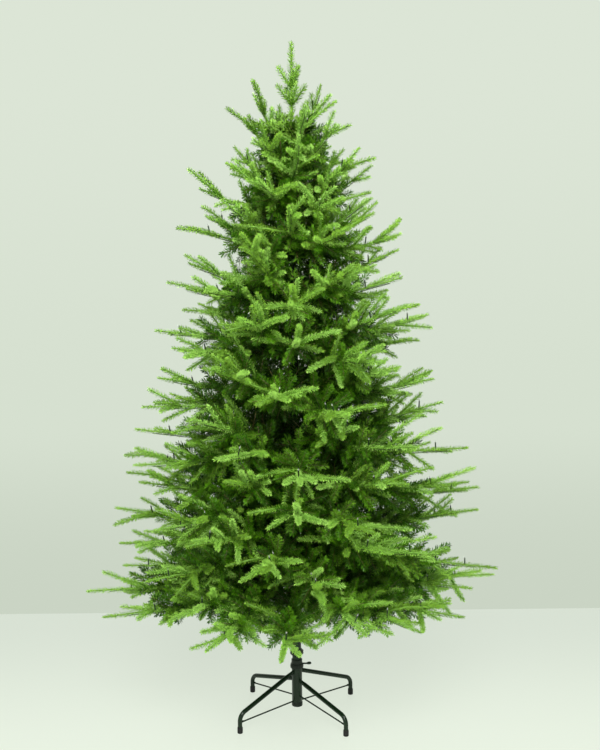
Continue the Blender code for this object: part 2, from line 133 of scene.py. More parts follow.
def needle_finishes(name, shades, roughness, specular):
    """Plastic needles in one plain colour for each shade, with a gloss that varies over the sprays."""
    finishes = []
    for number, shade in enumerate(shades, 1):
        made, tree, shader, place = new_material(f"{name}_{number}")
        uneven_gloss(tree, shader, place, SHEEN_PATCH, roughness - SHEEN_VARIES, roughness + SHEEN_VARIES)
        shader.inputs["Base Color"].default_value = srgb(shade)
        shader.inputs["Specular IOR Level"].default_value = specular
        finishes.append(made)
    return finishes


def clear_plastic(name, hex_colour, flow_mm, smoothest, roughest):
    """Clear moulded plastic, with the faint marks that its melt leaves in the gloss."""
    made, tree, shader, place = new_material(name)
    uneven_gloss(tree, shader, place, flow_mm, smoothest, roughest)
    shader.inputs["Base Color"].default_value = srgb(hex_colour)
    shader.inputs["Transmission Weight"].default_value = 0.55
    shader.inputs["IOR"].default_value = 1.45
    return made


# Needles of moulded polyethylene: thick and light yellow-green, with a broad satin sheen.
moulded_needles = needle_finishes("moulded_polyethylene",
                                  ("93c549", "8bbb3e", "9acb52", "81af38", "a1d05e"), 0.48, 0.28)
# Needles cut from PVC film: thin and flat, a deeper green that reflects less of the light.
film_needles = needle_finishes("cut_pvc_film", ("437509", "396807", "508410", "2e5406", "659526"), 0.42, 0.20)
# The same film close to the pole, darker and duller: painted shade of the crown's inside, which gives the
# crown its depth.
film_needles_painted_shade = needle_finishes("cut_pvc_film_inside",
                                ("2c5004", "254403", "386206", "1d3703", "4a7415"), 0.46, 0.16)
# The moulded rod that the polyethylene needles stand on: their green, but duller, and darker with painted
# shade of the crowded needle bases round it.
rod_finish_with_painted_shade = mottled("moulded_polyethylene_rod", "6c9a34", "80ae3e", 8.0, 0.6)
# Painted steel wire, twisted: brown in its turns and olive on top, a spine that shows in each film shoot.
twisted_wire = mottled("twisted_painted_wire", "3d3a1c", "6f6230", 3.0, 0.45)
# Enamel sprayed on steel: nearly black green and glossy, so that each tube has narrow bright lines.
# Its orange peel is finer than 1.6 mm on a real stand and is drawn that coarse so that it shows.
stand_enamel = mottled("sprayed_enamel", "0f200f", "172e1a", 40.0, 0.24, {"Specular IOR Level": 0.30},
                       bump=(1.6, 0.03))
# Moulded polypropylene: blacker than the enamel and satin. The grain of its mould is finer than 0.7 mm
# and is drawn that coarse.
cap_polypropylene = mottled("moulded_polypropylene", "0c180d", "122013", 20.0, 0.40,
                            {"Specular IOR Level": 0.30}, bump=(0.7, 0.015))
# Moulded rubber: neutral black and dull, its fine grain drawn as coarse as 0.8 mm.
ferrule_rubber = mottled("moulded_rubber", "0f100e", "161715", 12.0, 0.75, bump=(0.8, 0.02))
# PVC drawn round the lights' wires: dark green and satin, so that it hides among the needles.
cable_pvc = mottled("extruded_pvc", "17240f", "1f2e15", 25.0, 0.4)
# Moulded nylon of the lamp holders: a shade greener than the cable.
holder_nylon = mottled("moulded_nylon", "1d3417", "25401d", 6.0, 0.45)
# Clear moulded acrylic of the unlit bulbs: small bright points among the needles.
bulb_acrylic = clear_plastic("moulded_clear_acrylic", "f6f8f2", 2.0, 0.04, 0.14)


# ---------------------------------------------------------------- the rule the crown grows by
HEIGHT = 2.10
UP = Vector((0, 0, 1))
GAP = 0.0003                  # between the pole and the stems that leave it
POLE_TUBES = ((0.030, 0.760, 0.0142), (0.760, 1.400, 0.0126), (1.400, 1.868, 0.0105))
# foot, top and radius of the pole's three telescoped tubes
TIER_FOOT = 0.385             # height of the lowest tips
TIER_STEP = 0.160             # height between two tiers of boughs
MASSES_IN_TIER = (6, 6, 5, 5, 4, 4, 3, 3, 3, 2)
TIER_SEEDS = (363, 527, 65, 190, 313, 230, 356, 210, 125, 225)
BOUGHS_IN_MASS = (3, 3, 3, 3, 3, 3, 4, 4, 4, 4)
BOUGHS = {3: ((0.17, 0, 1.0, 0.4), (0.44, 2, 0.97, 0.7), (0.70, 1, 0.93, 1.0)),
          4: ((0.16, 0, 1.0, 0.3), (0.36, 2, 0.98, 0.5), (0.56, 1, 0.96, 0.75), (0.76, 3, 0.93, 1.0))}
# each bough of a mass: share of the tier's height, which slice of the mass, share of the reach,
# and share of the stem where it leaves
REACH = ((0.38, 0.678), (0.48, 0.672), (0.90, 0.545), (1.35, 0.412), (1.70, 0.278),
         (1.87, 0.185), (1.97, 0.115))           # (height, distance of the furthest tips)
SLOPE = ((0.38, 0.0), (0.60, 4.0), (0.90, 7.0), (1.30, 11.0), (1.55, 18.0), (1.75, 32.0),
         (1.97, 58.0))                           # (height, degrees that a bough climbs)
BEND_SHARE = 0.35             # where a bough bends, as a share of its reach
UNEVEN_REACH = (0.84, 1.0)    # seeded spread of the boughs' reach, as shares
UNEVEN_TURN = 0.08            # and of their azimuth, as a share of their slice
UNEVEN_SAG = (-0.004, 0.008)  # and of their sag at the bend
SPACE_MARGIN = 0.0025         # kept free along the sides of a mass's own space
POLE_MARGIN = 0.006
STEM_SHARE = 0.13             # length of a mass's stem, as a share of its reach
FIRST_TIPS = 0.19             # first and last place with side tips, as shares of a bough's curve
LAST_TIPS = 0.80
TIPS_PER_METRE = 9.0
TIP_ANGLES = (0.0, 90.0, 180.0)      # right, up and left, seen along the bough
TIP_LENGTH = 0.150
LENGTH_AT_ROOT = 1.15         # length of side tips there, as a share of that, less towards the end
LENGTH_LOST = 0.5
SPREAD_AT_ROOT = 80.0         # degrees between a bough and its side tips, less towards its end
SPREAD_LOST = 46.0
SIZE_AT_AXIS = 0.58           # size of the tips, plus the bough's reach in metres, up to 1
UNEVEN_SPREAD = 8.0           # seeded spread of the side tips: degrees from the bough,
UNEVEN_ANGLE = 18.0           # degrees round it,
UNEVEN_LENGTH = (0.8, 1.1)    # and share of the length
SHORTER = (1.0, 0.8, 0.6, 0.4)    # a tip that leaves its space is tried shorter, then left out
WHORLS = ((1.916, 4, 20.0, 0.078, 37.0), (1.968, 3, 60.0, 0.078, 33.0))
# side tips of the leader: (height, how many, first azimuth, length, degrees from upright)

Space = namedtuple("Space", "tier azimuth half_angle")
Bough = namedtuple("Bough", "curve rows size")     # a row is (place on the curve, its side tips' ends)
Mass = namedtuple("Mass", "name space stem boughs")


def between(table, height):
    """Value of a (height, value) table at a height, straight between its rows."""
    if height <= table[0][0]:
        return table[0][1]
    for (low, low_value), (high, high_value) in zip(table, table[1:]):
        if height <= high:
            return low_value + (high_value - low_value) * (height - low) / (high - low)
    return table[-1][1]


def pole_radius_at(height):
    for foot, top, radius in POLE_TUBES:
        if height <= top:
            return radius
    return 0.0


def cone_height(level, radius):
    """Height, at a distance from the axis, of the cone on which level's boughs lie."""
    tip_height = TIER_FOOT + TIER_STEP * level
    climb = math.tan(math.radians(between(SLOPE, tip_height)))
    return tip_height + (radius - between(REACH, tip_height)) * climb


def in_own_space(point, space):
    """True where a point lies between the mass's two cones and its two upright planes."""
    radius = math.hypot(point.x, point.y)
    if radius < pole_radius_at(point.z) + POLE_MARGIN:
        return False
    lowest = cone_height(space.tier, radius) + SPACE_MARGIN
    highest = cone_height(space.tier + 1, radius) - SPACE_MARGIN
    if not lowest < point.z < highest:
        return False
    turned_by = math.atan2(point.y, point.x) - space.azimuth
    turned_by = abs(math.atan2(math.sin(turned_by), math.cos(turned_by)))
    return turned_by < space.half_angle and radius * math.sin(space.half_angle - turned_by) > SPACE_MARGIN


def bezier(a, b, c, t):
    return a * (1 - t) ** 2 + b * 2 * t * (1 - t) + c * t ** 2


def bezier_run(a, b, c, t):
    return ((b - a) * (1 - t) + (c - b) * t).normalized()


def bezier_part(a, b, c, start, end):
    """The three points of the stretch of a curve from start to end."""
    middle = a.lerp(b, start).lerp(b.lerp(c, start), end)
    return bezier(a, b, c, start), middle, bezier(a, b, c, end)


def tip_direction(run, angle, spread):
    """Direction that leaves a bough by spread degrees, at an angle round it (90 is up)."""
    across = run.cross(UP).normalized()
    above = across.cross(run)
    angle, spread = math.radians(angle), math.radians(spread)
    outwards = across * math.cos(angle) + above * math.sin(angle)
    return (run * math.cos(spread) + outwards * math.sin(spread)).normalized()


def leaving(curve, along, angle, spread):
    """Place on a curve, and the direction that leaves it there."""
    return bezier(*curve, along), tip_direction(bezier_run(*curve, along), angle, spread)


def longest_inside(space, place, direction, length):
    """End of a side tip at the greatest length that stays in the mass's space, or None."""
    for share in SHORTER:
        end = place + direction * length * share
        if in_own_space(end, space):
            return end
    return None


def plan_bough(dice, stem, space, slices, rise, own_slice, share, leaves_at):
    """One bough of a mass, with a row of side tips at each of its places."""
    level = space.tier + rise
    azimuth = space.azimuth + space.half_angle * ((2 * own_slice + 1) / slices - 1)
    own_space = Space(space.tier, azimuth, space.half_angle / slices)
    azimuth += space.half_angle * dice.uniform(-UNEVEN_TURN, UNEVEN_TURN)
    reach = between(REACH, TIER_FOOT + TIER_STEP * level) * share * dice.uniform(*UNEVEN_REACH)
    sag = dice.uniform(*UNEVEN_SAG)
    middle = BEND_SHARE * reach
    tip = Vector((reach * math.cos(azimuth), reach * math.sin(azimuth), cone_height(level, reach)))
    bend = Vector((middle * math.cos(azimuth), middle * math.sin(azimuth), cone_height(level, middle) - sag))
    curve = (stem[0].lerp(stem[1], leaves_at), bend, tip)
    size = min(1.0, SIZE_AT_AXIS + reach)
    count = max(3, round(TIPS_PER_METRE * reach))
    rows = []
    for i in range(count):
        along = FIRST_TIPS + (LAST_TIPS - FIRST_TIPS) * i / (count - 1)
        ends = []
        for angle in TIP_ANGLES:
            spread = SPREAD_AT_ROOT - SPREAD_LOST * along + dice.uniform(-UNEVEN_SPREAD, UNEVEN_SPREAD)
            angle += dice.uniform(-UNEVEN_ANGLE, UNEVEN_ANGLE)
            length = TIP_LENGTH * size * (LENGTH_AT_ROOT - LENGTH_LOST * along) * dice.uniform(*UNEVEN_LENGTH)
            ends.append(longest_inside(own_space, *leaving(curve, along, angle, spread), length))
        rows.append((along, ends))
    return Bough(curve, rows, size)


def plan_masses():
    """Every mass round the pole; its stem is two ends."""
    masses = []
    for tier, count in enumerate(MASSES_IN_TIER):
        dice = random.Random(TIER_SEEDS[tier])
        half_angle = math.pi / count
        first = dice.uniform(0, 2 * half_angle)
        stem_level = tier + 0.5
        for number in range(count):
            azimuth = first + 2 * half_angle * number
            facing = Vector((math.cos(azimuth), math.sin(azimuth), 0.0))
            reach = between(REACH, TIER_FOOT + TIER_STEP * stem_level)
            root_radius = pole_radius_at(cone_height(stem_level, 0.0)) + GAP
            stem = [facing * radius + UP * cone_height(stem_level, radius)
                    for radius in (root_radius, root_radius + STEM_SHARE * reach)]
            space = Space(tier, azimuth, half_angle)
            slices = BOUGHS_IN_MASS[tier]
            boughs = [plan_bough(dice, stem, space, slices, *place) for place in BOUGHS[slices]]
            masses.append(Mass(f"foliage_{tier + 1}_{number + 1}", space, stem, boughs))
    return masses


# ---------------------------------------------------------------- modelling by hand
def add_circle(name, sides, radius, place, tilt=0.0):
    """Start a piece from a filled circle, tilted about Y, and go into edit mode with all of it selected."""
    bpy.ops.object.select_all(action="DESELECT")
    bpy.ops.mesh.primitive_circle_add(vertices=sides, radius=radius, fill_type="NGON",
                                      location=place, rotation=(0, tilt, 0))
    piece = bpy.context.object
    piece.name = name
    bpy.ops.object.mode_set(mode="EDIT")
    bpy.ops.mesh.select_mode(type="FACE")
    bpy.ops.mesh.select_all(action="SELECT")
    return piece


def draw_out(step, scale=None, centre=None):
    """Extrude the selected end by a step; its new ring may be resized about a centre."""
    bpy.ops.mesh.extrude_region_move(TRANSFORM_OT_translate={"value": step})
    if scale:
        bpy.ops.transform.resize(value=scale, center_override=centre)


def done(piece, finish, sharp_angle=35.0):
    """Leave edit mode: normals outwards, place in the mesh, smooth round sides, one finish."""
    bpy.ops.mesh.select_all(action="SELECT")
    bpy.ops.mesh.normals_make_consistent(inside=False)
    bpy.ops.object.mode_set(mode="OBJECT")
    bpy.ops.object.transform_apply(location=True, rotation=True, scale=True)
    bpy.ops.object.shade_smooth_by_angle(angle=math.radians(sharp_angle))
    piece.data.name = piece.name
    piece.data.materials.append(finish)
    return piece


def select_faces(piece, wanted):
    """In edit mode, select only the faces whose middle passes a test."""
    data = bmesh.from_edit_mesh(piece.data)
    for face in data.faces:
        face.select_set(wanted(piece.matrix_world @ face.calc_center_median()))
    data.select_flush_mode()
    bmesh.update_edit_mesh(piece.data)


def drawn_up(name, sides, profile):
    """A round piece still in edit mode: a filled circle drawn from ring to ring of (radius, height)."""
    piece = add_circle(name, sides, profile[0][0], (0, 0, profile[0][1]))
    for (radius, height), (next_radius, next_height) in zip(profile, profile[1:]):
        scale = next_radius / radius
        draw_out((0, 0, next_height - height), (scale, scale, 1), (0, 0, next_height))
    return piece


def copied(piece, name, matrix):
    """A copy of a finished piece with its own mesh, moved in the mesh."""
    twin = piece.copy()
    twin.data = piece.data.copy()
    twin.name = twin.data.name = name
    twin.data.transform(matrix)
    bpy.context.scene.collection.objects.link(twin)
    return twin


def turned_to(azimuth):
    return Matrix.Rotation(math.radians(azimuth), 4, "Z")


def joined(name, pieces):
    """Join finished pieces into the first one."""
    bpy.ops.object.select_all(action="DESELECT")
    for piece in pieces:
        piece.select_set(True)
    bpy.context.view_layer.objects.active = pieces[0]
    bpy.ops.object.join()
    pieces[0].name = pieces[0].data.name = name
    return pieces[0]


def finish_piece(piece, nodes):
    """The piece rides on the tree and stands for its nodes, whose own parts are hidden."""
    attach(piece, "root")
    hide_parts(*nodes)


# ---------------------------------------------------------------- stand
# The rings of a round piece are (radius, height), in the order in which they are drawn.
POST_RADIUS = 0.0165
POST_RINGS = ((0.0150, 0.0400), (0.0150, 0.0286), (0.0155, 0.0280), (0.0161, 0.0280), (0.0165, 0.0288),
              (0.0165, 0.1700))
BUSH_RINGS = ((0.0120, 0.0380), (0.0120, 0.0268), (0.0130, 0.0260), (0.0161, 0.0260), (0.0173, 0.0274),
              (0.0173, 0.0390), (0.0166, 0.0405))
CAP_RINGS = ((0.0168, 0.1530), (0.0198, 0.1530), (0.0208, 0.1542), (0.0208, 0.1576), (0.0195, 0.1665),
             (0.0180, 0.1675), (0.0170, 0.1768), (0.0172, 0.1772), (0.0172, 0.1810), (0.0163, 0.1820),
             (0.0146, 0.1820), (0.0146, 0.1790))
RIB_FOOT, RIB_TOP = 0.1580, 0.1665
RIB_WIDTH = 15                # degrees of a rib, and of the groove beside it
RIB_EDGE, RIB_HEIGHT = 0.0004, 0.0007
SCREW_HEIGHT = 0.166
SCREW_START = 0.0173          # distance of its inner end from the axis
SCREW_CORE, SCREW_CREST = 0.0024, 0.0030     # radii of its thread
THREAD_STEP = 0.0008
THREAD_STEPS = 16
WING_STEPS = ((0.0012, 0.75, 1.15), (0.0030, 0.75, 1.45), (0.0035, 0.90, 1.25), (0.0040, 1.0, 1.0),
              (0.0030, 0.95, 0.75), (0.0015, 0.7, 0.5))
# each step of the screw's wing: its length, then how much thinner and taller the wing gets
WING_RISES = 0.0002           # with each of those steps
RIVET_RINGS = ((0.0030, 0), (0.0030, 0.0006), (0.0027, 0.0012), (0.0018, 0.0018), (0.0006, 0.0021))
LEG_RADIUS = 0.007
LEG_AZIMUTHS = (-50.0, 40.0, 130.0, 220.0)
LEG_ROOT_HEIGHTS = (0.112, 0.141, 0.112, 0.141)
LEG_PINCH = 0.45              # width of a leg's inner end, as a share of the round tube's
LEG_WIDENS = 1.7
LEG_STEPS = ((0.010, 1.0), (0.010, LEG_WIDENS), (0.006, 1 / (LEG_PINCH * LEG_WIDENS)))
# the steps in which that end gets round again: length, then how much wider
LEG_PINCHED = 0.026           # length of those steps together
LEG_RIVET = 0.012             # place of its rivets from its inner end
LEG_RIVET_OUT = 0.0034        # and from its middle
LEG_ELBOW_HEIGHT = 0.058
ELBOW_RADIUS = 0.030
LEG_IN_FOOT = 0.004
INTO_TUBE = 0.0010            # how far a leg or a brace goes into the tube that it is fixed to
FOOT_CIRCLE = 0.232
FOOT_HEIGHT = 0.020
FOOT_RINGS = ((0.0073, 0), (0.0082, 0.0010), (0.0085, 0.0025), (0.0085, 0.0050), (0.0079, 0.0054),
              (0.0079, 0.0062), (0.0085, 0.0066), (0.0085, 0.0170), (0.0082, 0.0190), (0.0076, FOOT_HEIGHT),
              (LEG_RADIUS, FOOT_HEIGHT), (0.0066, 0.0190))
BRACE_RADIUS = 0.0024
BRACE_ROOT_HEIGHTS = (0.061, 0.040, 0.057, 0.044)
BRACE_END_HEIGHT = 0.034
BRACE_END_STEPS = ((0.004, 1.5), (0.010, 1.0))
# the steps in which its end is flattened: length, then how much wider
BRACE_FLATTENED = 0.014       # length of those steps together
BRACE_RIVET = 0.006           # place of its rivet from its end
BRACE_RIVET_OUT = 0.8         # and from its middle, as a share of its radius
COLLAR_HEIGHT = 0.205
COLLAR_RADIUS = 0.0215
COLLAR_RINGS = ((-0.0040, -0.0090), (-0.0034, -0.0050), (0.0, -0.0044), (0.0, -0.0026), (-0.0034, -0.0020))
# (out from the edge of its flanges, up from its middle); the upper half mirrors them
SWAGE_RINGS = ((0.0, -0.034), (0.0006, -0.032), (0.0006, -0.002), (0.0, 0.0))
# a tube of the pole at its joint: (wider than the tube, up from its top)
SHOULDER_HEIGHTS = (0.002, 0.004)    # where the next tube starts above that


def make_post():
    """Steel tube with a rolled lower lip and a plastic bush in its open end."""
    post = done(drawn_up("post_tube", 40, POST_RINGS), stand_enamel)
    bush = done(drawn_up("post_bush", 40, BUSH_RINGS), cap_polypropylene)
    finish_piece(post, ["stand_post"])
    finish_piece(bush, ["stand_post"])


def on_rib(middle):
    around = math.degrees(math.atan2(middle.y, middle.x)) % (2 * RIB_WIDTH)
    return RIB_FOOT < middle.z < RIB_TOP and around < RIB_WIDTH


def make_cap():
    """Flared grip cap over the post's top, with ribs round its flare and a rolled upper rim."""
    cap = drawn_up("post_cap", 48, CAP_RINGS)
    select_faces(cap, on_rib)
    bpy.ops.mesh.inset(thickness=RIB_EDGE)
    bpy.ops.transform.shrink_fatten(value=RIB_HEIGHT)
    done(cap, cap_polypropylene)
    finish_piece(cap, ["stand_cap"])


def make_thumbscrew():
    """Threaded shank that flattens into an upright wing, tipped up a little."""
    screw = add_circle("thumbscrew_steel", 14, SCREW_CORE, (SCREW_START, 0, SCREW_HEIGHT), math.radians(90))
    reached, radius = SCREW_START, SCREW_CORE
    for number in range(THREAD_STEPS):
        next_radius = SCREW_CORE if number % 2 else SCREW_CREST
        reached += THREAD_STEP
        scale = next_radius / radius
        draw_out((THREAD_STEP, 0, 0), (1, scale, scale), (reached, 0, SCREW_HEIGHT))
        radius = next_radius
    for step, thinner, taller in WING_STEPS:
        reached += step
        draw_out((step, 0, WING_RISES), (1, thinner, taller), (reached, 0, SCREW_HEIGHT))
    done(screw, stand_enamel, 50.0)
    finish_piece(screw, ["thumbscrew"])


def make_rivet():
    """Domed rivet head, of which every leg and brace gets copies."""
    return done(drawn_up("rivet", 16, RIVET_RINGS), stand_enamel, 60.0)


def rivet_on(rivet, place, facing):
    """A copy of the rivet at a place, with its head in a direction."""
    turned = Vector(facing).to_track_quat("Z", "Y").to_matrix().to_4x4()
    return copied(rivet, "rivet", Matrix.Translation(place) @ turned)


def make_leg(number, rivet):
    """A round tube pinched where it enters the post, bent over its foot; riveted to the post."""
    root = Vector((POST_RADIUS - INTO_TUBE, 0, LEG_ROOT_HEIGHTS[number]))
    elbow = Vector((FOOT_CIRCLE, 0, LEG_ELBOW_HEIGHT))
    run = (elbow - root).normalized()
    drop = run.angle(-UP)
    arc_start = elbow - run * ELBOW_RADIUS * math.tan(drop / 2)
    arc_end = elbow - UP * ELBOW_RADIUS * math.tan(drop / 2)
    inward = Vector((run.z, 0, -run.x))
    leg = add_circle("leg", 20, LEG_RADIUS, root, math.atan2(run.x, run.z))
    bpy.ops.transform.resize(value=(1, LEG_PINCH, 1), center_override=root)
    for step, wider in LEG_STEPS:
        draw_out(run * step, (1, wider, 1), root + run * step)
    draw_out(run * ((arc_start - root).length - LEG_PINCHED))
    bpy.ops.mesh.spin(steps=12, angle=-drop, center=arc_start + inward * ELBOW_RADIUS, axis=(0, 1, 0))
    draw_out((0, 0, FOOT_HEIGHT - LEG_IN_FOOT - arc_end.z))
    done(leg, stand_enamel)
    heads = [rivet_on(rivet, root + run * LEG_RIVET + Vector((0, side * LEG_RIVET_OUT, 0)), (0, side, 0))
             for side in (-1, 1)]
    leg = joined(f"leg_tube_{number + 1}", [leg, *heads])
    leg.data.transform(turned_to(LEG_AZIMUTHS[number]))
    finish_piece(leg, [f"leg_{number + 1}"])


def make_brace(number, rivet):
    """A rod from the post to its leg, flattened and riveted at the leg."""
    root = Vector((POST_RADIUS - INTO_TUBE, 0, BRACE_ROOT_HEIGHTS[number]))
    end = Vector((FOOT_CIRCLE - LEG_RADIUS + INTO_TUBE, 0, BRACE_END_HEIGHT))
    run = (end - root).normalized()
    brace = add_circle("brace", 12, BRACE_RADIUS, root, math.atan2(run.x, run.z))
    for step, wider in (((end - root).length - BRACE_FLATTENED, 1.0), *BRACE_END_STEPS):
        draw_out(run * step, (1, wider, 1), root)
    done(brace, stand_enamel)
    head = rivet_on(rivet, end - run * BRACE_RIVET + UP * BRACE_RADIUS * BRACE_RIVET_OUT, UP)
    brace = joined(f"brace_rod_{number + 1}", [brace, head])
    brace.data.transform(turned_to(LEG_AZIMUTHS[number]))
    finish_piece(brace, [f"brace_{number + 1}"])


def make_feet():
    """Ribbed rubber ferrules, one modelled and turned to the four legs."""
    foot = done(drawn_up("foot", 24, FOOT_RINGS), ferrule_rubber)
    foot.data.transform(Matrix.Translation((FOOT_CIRCLE, 0, 0)))
    for number, azimuth in enumerate(LEG_AZIMUTHS):
        own = copied(foot, f"foot_ferrule_{number + 1}", turned_to(azimuth))
        finish_piece(own, [f"foot_{number + 1}"])
    bpy.data.objects.remove(foot)


def make_pole():
    """Three telescoped tubes with swaged joints."""
    rings = [(POLE_TUBES[0][2], POLE_TUBES[0][0])]
    for (_, top, radius), (_, _, next_radius) in zip(POLE_TUBES, POLE_TUBES[1:]):
        rings += [(radius + wider, top + up) for wider, up in SWAGE_RINGS]
        rings += [(next_radius, top + up) for up in SHOULDER_HEIGHTS]
    rings.append((POLE_TUBES[-1][2], POLE_TUBES[-1][1]))
    pole = done(drawn_up("pole_tubes", 32, rings), stand_enamel)
    finish_piece(pole, ["pole"])


def make_collar(height):
    """Hinge collar round the pole: two flanges with a groove between them."""
    bore = pole_radius_at(height)
    flange = bore + COLLAR_RADIUS - POLE_TUBES[0][2]
    lower = [(flange + out, height + up) for out, up in COLLAR_RINGS]
    upper = [(flange + out, height - up) for out, up in reversed(COLLAR_RINGS)]
    rings = [(bore, lower[0][1]), *lower, *upper, (bore, upper[-1][1])]
    return done(drawn_up("collar", 32, rings), cap_polypropylene)


def make_collars():
    """A collar above the stand and one under every tier of boughs."""
    tier_heights = [cone_height(tier + 0.5, 0.0) for tier in range(len(MASSES_IN_TIER))]
    lowest, *others = [make_collar(height) for height in (COLLAR_HEIGHT, *tier_heights)]
    lowest.name = lowest.data.name = "hinge_collar_lowest"
    finish_piece(lowest, ["pole_collar"])
    upper = joined("hinge_collars", others)
    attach(upper, "root")


# ---------------------------------------------------------------- shoots: what the needles stand on
# Places along a bough are shares of its curve, and angles round it are degrees, 90 upwards.
Shoot = namedtuple("Shoot", "root bend tip level")
END_LIFT = (-0.035, 0.005, 0.050)
LOWEST_END_LIFT = (0.000, 0.012, -0.045)
# how far a bough's end is bent up by hand: least and most, then what a mass's highest bough adds
DRAWN_IN = 0.4                # a lifted end comes nearer the pole by this share of its lift
FILM_FROM = 0.10              # the bough itself carries film needles from here,
END_FROM = 0.48               # and moulded ones from here to its end
MOULDED_FROM = 0.42           # side shoots further out than this are moulded, the rest cut from film
LONGER = 1.50                 # a moulded side shoot is drawn out by so much where its space allows it
LONGER_AT_END = 0.90
UNEVEN_LONGER = (0.75, 1.25)
FORWARD_AT_END = 0.30         # how far the outermost side shoots turn towards the bough's own direction
RAISED_FORWARD = 0.50         # the same for the shoots on its upper side
RAISED_SHARE = 0.50           # how many of those are there
FEWER_OUTWARDS = 0.6          # share of the side shoots that is left out at the bough's end
DROOP = (-0.06, 0.12)         # how far the tips of moulded shoots sink, as a share of their length
LOWEST_DROOP = (-0.12, 0.04)
ARCH = (0.0, 0.10)            # how far the middle of such a shoot rises and goes sideways, likewise
SIDEWAYS = (-0.08, 0.08)
FILM_BACK = (0.02, 0.12)      # how far the middle of a film shoot stays back and rises, likewise
FILM_RISE = (-0.05, 0.06)
OVER_THE_EDGE = math.radians(14)   # how far moulded shoots may reach into the masses beside their own
SIDE_FILL = 2                 # further moulded shoots along both sides of a bough
SIDE_FILL_FROM = 0.40         # where they start, and the length of bough they are spread over
SIDE_FILL_OVER = 0.44
SIDE_FILL_LENGTH = 0.150
SIDE_FILL_ANGLES = (-12, 38)
SIDE_FILL_SPREAD = 84.0
UNEVEN_SIDE_LENGTH = (0.7, 1.3)
FILL_FROM, FILL_TO = 0.04, (0.74, 0.56)   # shares of the bough, the second of the lowest and of the top tier
FILL_PER_METRE = 46.0
FILL_AT_LEAST = 9
FILL_OUTWARDS = 0.85          # under 1, so that they stand closer together further out
FILL_LENGTH = 0.125           # of those nearest the pole, less towards the bough's end
FILL_LENGTH_LOST = 0.06
HANGING = (200, 340)          # angles at which fill shoots hang and are shorter
HANGING_LENGTH = 0.080
UNEVEN_FILL_ANGLE = (-20, 20)
UNEVEN_FILL_SPREAD = (-10, 10)
UNEVEN_FILL_LENGTH = (0.75, 1.1)
LOWEST_FILL = 1.5             # times as many on the lowest tier, whose underside is seen
LIFTED_BACK = 0.25            # a tip below the underside goes above it by this share of its depth
MOULDED_FILL_FROM = 0.40      # fill shoots of the upper tiers are moulded from here out
UPPER_TIERS = 5
SHORTER_ABOVE = 0.68          # moulded side shoots of the upper tiers are shorter by this
GOLDEN_ANGLE = 137.5
STRAY_LENGTH = 0.190          # long shoots that stand off a cluster's highest and lowest bough
STRAYS = {"up": ((90, 0.40), (60, 0.52), (120, 0.64), (90, 0.76)),
          "down": ((-60, 0.46), (-120, 0.58), (-90, 0.72))}
STRAY_SPREAD = (24, 40)
UNEVEN_STRAY_ANGLE = (-20, 20)
STRAY_AT_ROOT = 1.25          # their length at the pole as a share of that, less further out
HEM_SHOOTS = 11               # moulded shoots under each bough of the lowest tier
HEM_LENGTH = 0.125
UNEVEN_HEM_LENGTH = (0.8, 1.2)
HEM_FROM, HEM_TO = 0.24, 0.82
HEM_ANGLES = (0.0, 20.0)      # below level
HEM_SPREAD = (56, 86)
HEM_LEVEL = 0.3               # boughs that end above this level let their hem shoots hang
HEM_ABOVE = (0.0, 0.025)      # height of their tips above the crown's underside
HEM_STEEPEST = 0.38           # how far they may fall, as a share of their length
HEM_BEND = 0.35               # where they bend
HEM_BEND_HEIGHT = (0.30, 0.70)     # shares that root and tip have in the height of the bend
LEADER_ROOT, LEADER_BEND = 1.875, 1.98
POLE_END_WHORLS = ((1.812, 6, 0.0, 0.090, 56.0), (1.842, 5, 50.0, 0.074, 44.0))
WHORL_SAG = 0.004
NEEDLE_END = 0.009            # needles reach this far beyond the end of their shoot
LEADER_NEEDLE_END = 0.006


def bent_by_hand(masses):
    """The same masses, with the ends of their boughs fanned out so that no gap goes round the crown."""
    bent = []
    for mass in masses:
        dice = random.Random(mass.name + "_bend")
        least, most, added = END_LIFT if mass.space.tier else LOWEST_END_LIFT
        fanned = []
        for number, bough in enumerate(mass.boughs):
            root, bend, tip = bough.curve
            lift = dice.uniform(least, most) + added * (number / (len(mass.boughs) - 1))
            outwards = Vector((tip.x, tip.y, 0)).normalized()
            tip = tip + UP * lift - outwards * DRAWN_IN * max(0.0, lift)
            fanned.append(bough._replace(curve=(root, bend, tip)))
        bent.append(mass._replace(boughs=fanned))
    return bent


def arched(dice, root, end, level, droop=(0.0, 0.0)):
    """A shoot that rises a little on its way and sinks towards its tip."""
    length = (end - root).length
    tip = end - UP * length * dice.uniform(*droop)
    side = (end - root).cross(UP).normalized()
    bend = root.lerp(tip, 0.5) + UP * length * dice.uniform(*ARCH) + side * length * dice.uniform(*SIDEWAYS)
    return Shoot(root, bend, tip, level)


def own_droop(space):
    return DROOP if space.tier else LOWEST_DROOP


def film_shoot(dice, curve, along, end, level):
    """A shoot on thin wire that leaves the bough widely and turns forward."""
    root = bezier(*curve, along)
    run = bezier_run(*curve, along)
    length = (end - root).length
    back, rise = dice.uniform(*FILM_BACK), dice.uniform(*FILM_RISE)
    bend = root.lerp(end, 0.5) - run * length * back + UP * length * rise
    return Shoot(root, bend, end, level)


def moulded_side(dice, curve, along, end, space, forward, longer):
    """A moulded shoot from the bough past one of the rule's side tips, turned forward by a share."""
    root = bezier(*curve, along)
    run = bezier_run(*curve, along)
    length = (end - root).length
    direction = ((end - root).normalized() * (1 - forward) + run * forward).normalized()
    end = longest_inside(space, root, direction, length * longer) or end
    return arched(dice, root, end, space.tier, own_droop(space))


